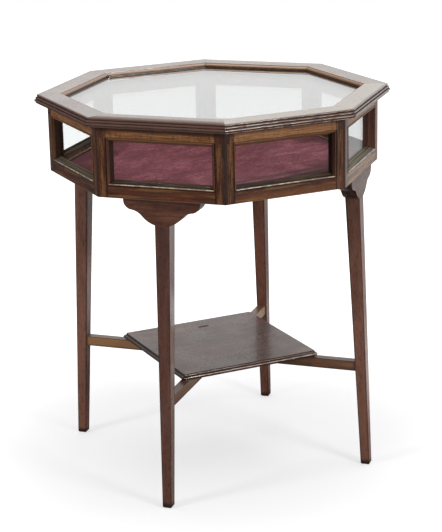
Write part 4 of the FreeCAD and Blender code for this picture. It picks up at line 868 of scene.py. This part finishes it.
def stretcher_polish(name, turn, dark_from, gold_from):
    """The stretcher's thin old polish. turn brings the rail's length to the second direction."""
    rail = Finish(name)
    board = rail.swung(turn)
    mahogany(rail, board, (88, 54, 38), (114, 76, 52), (142, 102, 68))
    along, up = rail.apart(board)[1:]
    golden = rail.ease(along, dark_from, gold_from)
    rail.rub_in((158, 116, 74), golden, 0.75)
    beside_leg = rail.ease(rail.work("ABSOLUTE", along), at_leg - 0.0065, at_leg)
    rail.rub_in((52, 32, 24), beside_leg, 0.55)
    # Painted shade along the lower edge.
    lower_shade = rail.ease(up, stretcher_low + 0.0050, stretcher_low + 0.0005)
    rail.rub_in((60, 38, 28), lower_shade, 0.55)
    # Painted shadow of the shelf along the top.
    shade_under_shelf = rail.ease(up, stretcher_high - 0.0025, stretcher_high - 0.0009)
    rail.rub_in((70, 50, 38), shade_under_shelf, 0.6)
    return french_polish(rail, gloss=0.30, coat=0.3, ripple=0.4)


dress(stretcher_polish("left_right_stretcher_polish", 90, 0.10, -0.20), "stretcher_left_right")
dress(stretcher_polish("front_back_stretcher_polish", 0, 0.12, 0.24), "stretcher_front_back")

# ----------------------------------------------------------------------
# The shelf: one flat-sawn mahogany board, square, set cornerwise on the stretcher, with a hollow and an astragal
# worked round the edge. High polish, dulled in clouds by what has stood on it, with one old dent.
# ----------------------------------------------------------------------
shelf_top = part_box("shelf")[1].z
half_side = 0.1365
astragal_from, astragal_to, underside_from = 0.0050, 0.0062, 0.0078
dent_left, dent_right, dent_front, dent_back = -0.0995, -0.0935, 0.0020, 0.0240
shelf = Finish("shelf_polish")
board = shelf.swung(45)
across, along, up = shelf.apart(board)
bow = shelf.work("ADD", across, shelf.times(along, along, 1.35))
bow = shelf.work("MULTIPLY_ADD", shelf.mottle(board, 3, detail=2), 0.05, bow)
mahogany(shelf, shelf.together(bow, along, up), (62, 34, 24), (90, 52, 36), (126, 78, 52))
growth = shelf.mottle(shelf.together(bow, shelf.times(along, 0.25), up), (82, 4, 82))
shelf.rub_in((40, 22, 17), shelf.ease(growth, 0.48, 0.64, 0.0, 0.50))
patches = shelf.mottle(board, 7)
shelf.rub_in((128, 82, 56), shelf.ease(patches, 0.46, 0.68, 0.0, 0.3))
reach = shelf.work("MAXIMUM", shelf.work("ABSOLUTE", across), shelf.work("ABSOLUTE", along))
rim = shelf.ease(reach, half_side - 0.0030, half_side - 0.0010)
shelf.rub_in((40, 24, 19), rim, 0.6)
moulding = shelf.ease(reach, half_side + 0.0002, half_side + 0.0008)
shelf.rub_in((66, 40, 30), moulding, 0.6)
down = shelf.work("SUBTRACT", shelf_top, up)
shaded_edge = shelf.ease(along, 0.0055 - half_side, 0.0015 - half_side)
# Painted highlight along the astragal, broken in patches and left off the shaded front left side.
astragal = shelf.times(moulding, shelf.strip(down, astragal_from, astragal_to, 0.0004))
glint_share = shelf.ease(shelf.mottle(board, 50), 0.36, 0.60, 0.35, 0.9)
shelf.rub_in((222, 200, 178), astragal, shelf.all_but(shaded_edge, 0.9), glint_share)
shelf.rub_in((34, 21, 17), shaded_edge, moulding, 0.6)
# Painted shade on the moulding below the astragal.
underside_shade = shelf.ease(down, underside_from, underside_from + 0.0012)
shelf.rub_in((28, 17, 14), moulding, underside_shade, 0.8)
dent = shelf.strip(across, dent_left, dent_right, 0.0006)
dent = shelf.times(dent, shelf.strip(along, dent_front, dent_back, 0.0008))
shelf.rub_in((22, 13, 11), dent, 0.9)
coat = shelf.times(shelf.all_but(dent), 0.30)
dull = shelf.work("MULTIPLY_ADD", dent, 0.6, shelf.times(shelf.all_but(moulding), 0.08))
dress(french_polish(shelf, gloss=0.15, coat=coat, ripple=0.3, hollows=dent, dull=dull), "shelf")

# ----------------------------------------------------------------------
# The floor and the light: a pale studio floor that runs off into a white backdrop, a broad soft light overhead, one
# at each front corner, and a backdrop that the polish and the glass mirror. The floor's glow is turned down near the
# table, a painted shade round it, and in mirror rays it glows only to the right and behind, a painted reflection.
# ----------------------------------------------------------------------
floor_reach, floor_drop, spokes = 5.0, 0.0002, 48
bearings = [2 * math.pi * spoke / spokes for spoke in range(spokes)]
rim = [(floor_reach * math.cos(bearing), floor_reach * math.sin(bearing), -floor_drop) for bearing in bearings]
ground_mesh = bpy.data.meshes.new("studio_floor")
ground_mesh.from_pydata(rim, [], [tuple(range(spokes))])
ground = set_out("studio_floor", ground_mesh)
paper = Finish("studio_floor_paper")
rays = paper.add("ShaderNodeLightPath").outputs
x, y = paper.apart(paper.place)[:2]
far_side = paper.work("MULTIPLY_ADD", y, 0.85, paper.times(x, 0.5))
from_table = paper.work("SQRT", paper.work("MULTIPLY_ADD", x, x, paper.times(y, y)))
close_behind = paper.times(paper.ease(far_side, 0.3, 0.6), paper.ease(from_table, 1.15, 0.90))
lit_side = paper.work("MAXIMUM", paper.ease(far_side, 0.2, 2.4), close_behind)
# Painted reflection: in mirror rays the floor glows, and keeps its pale tone, only to the right and behind.
mirrored = paper.times(rays["Is Glossy Ray"], lit_side)
shown = paper.work("MAXIMUM", rays["Is Camera Ray"], rays["Is Transmission Ray"])
shown = paper.work("MULTIPLY_ADD", mirrored, 0.25, shown)
# Painted shade: the floor's glow is turned down near the table.
shown = paper.times(shown, paper.ease(from_table, 0.30, 0.98, 0.565, 1.05))
speckle = paper.mottle(paper.place, 900, detail=1)
tone = paper.shade(speckle, (0.3, (0.47, 0.47, 0.475, 1)), (0.7, (0.50, 0.50, 0.505, 1)))
tone = paper.lay(paper.work("SUBTRACT", rays["Is Glossy Ray"], mirrored), tone, (0.14, 0.14, 0.14, 1))
matt = paper.add("ShaderNodeBsdfDiffuse", {"Color": tone})
lift = paper.add("ShaderNodeEmission", {"Color": (1, 1, 1.01, 1), "Strength": shown})
ground_mesh.materials.append(paper.finished("ShaderNodeAddShader", {0: matt.outputs[0], 1: lift.outputs[0]}))


def soft_light(name, stands, aims, width, height, brightness):
    """A soft box. brightness is how bright its face looks, 1 being paper white."""
    lamp = bpy.data.lights.new(name, "AREA")
    lamp.shape, lamp.size, lamp.size_y = "RECTANGLE", width, height
    lamp.energy = brightness * math.pi * width * height
    box = set_out(name, lamp)
    box.location = stands
    box.rotation_euler = (Vector(aims) - Vector(stands)).to_track_quat("-Z", "Y").to_euler()
    box.visible_camera = False


middle_of_table = (0, 0, 0.4)
soft_light("overhead_light", (0.1, 0.2, 2.5), middle_of_table, 2.6, 2.2, 2.45)
soft_light("front_left_light", (-2.0, -2.5, 1.7), middle_of_table, 0.7, 0.7, 24.0)
soft_light("front_right_light", (2.85, -1.35, 1.5), middle_of_table, 0.7, 0.7, 26.0)

room = bpy.data.worlds.new("studio")
bpy.context.scene.world = room
room.use_nodes = True
backdrop = Recipe(room.node_tree)
x, y = backdrop.apart(backdrop.add("ShaderNodeTexCoord").outputs[0])[:2]
far_wall = backdrop.work("MULTIPLY_ADD", y, 0.85, backdrop.times(x, 0.5))
mirrored = backdrop.ease(far_wall, -0.10, 0.60, 0.22, 0.88)
rays = backdrop.add("ShaderNodeLightPath").outputs
straight = backdrop.work("MAXIMUM", rays["Is Camera Ray"], rays["Is Transmission Ray"])
lit = backdrop.add("ShaderNodeMix", {0: rays["Is Glossy Ray"], 2: 0.30, 3: mirrored}).outputs[0]
lit = backdrop.add("ShaderNodeMix", {0: straight, 2: lit, 3: 1.0}).outputs[0]
background = backdrop.add("ShaderNodeBackground", {"Color": (1, 1, 1, 1), "Strength": lit}).outputs[0]
backdrop.add("ShaderNodeOutputWorld", {"Surface": background})
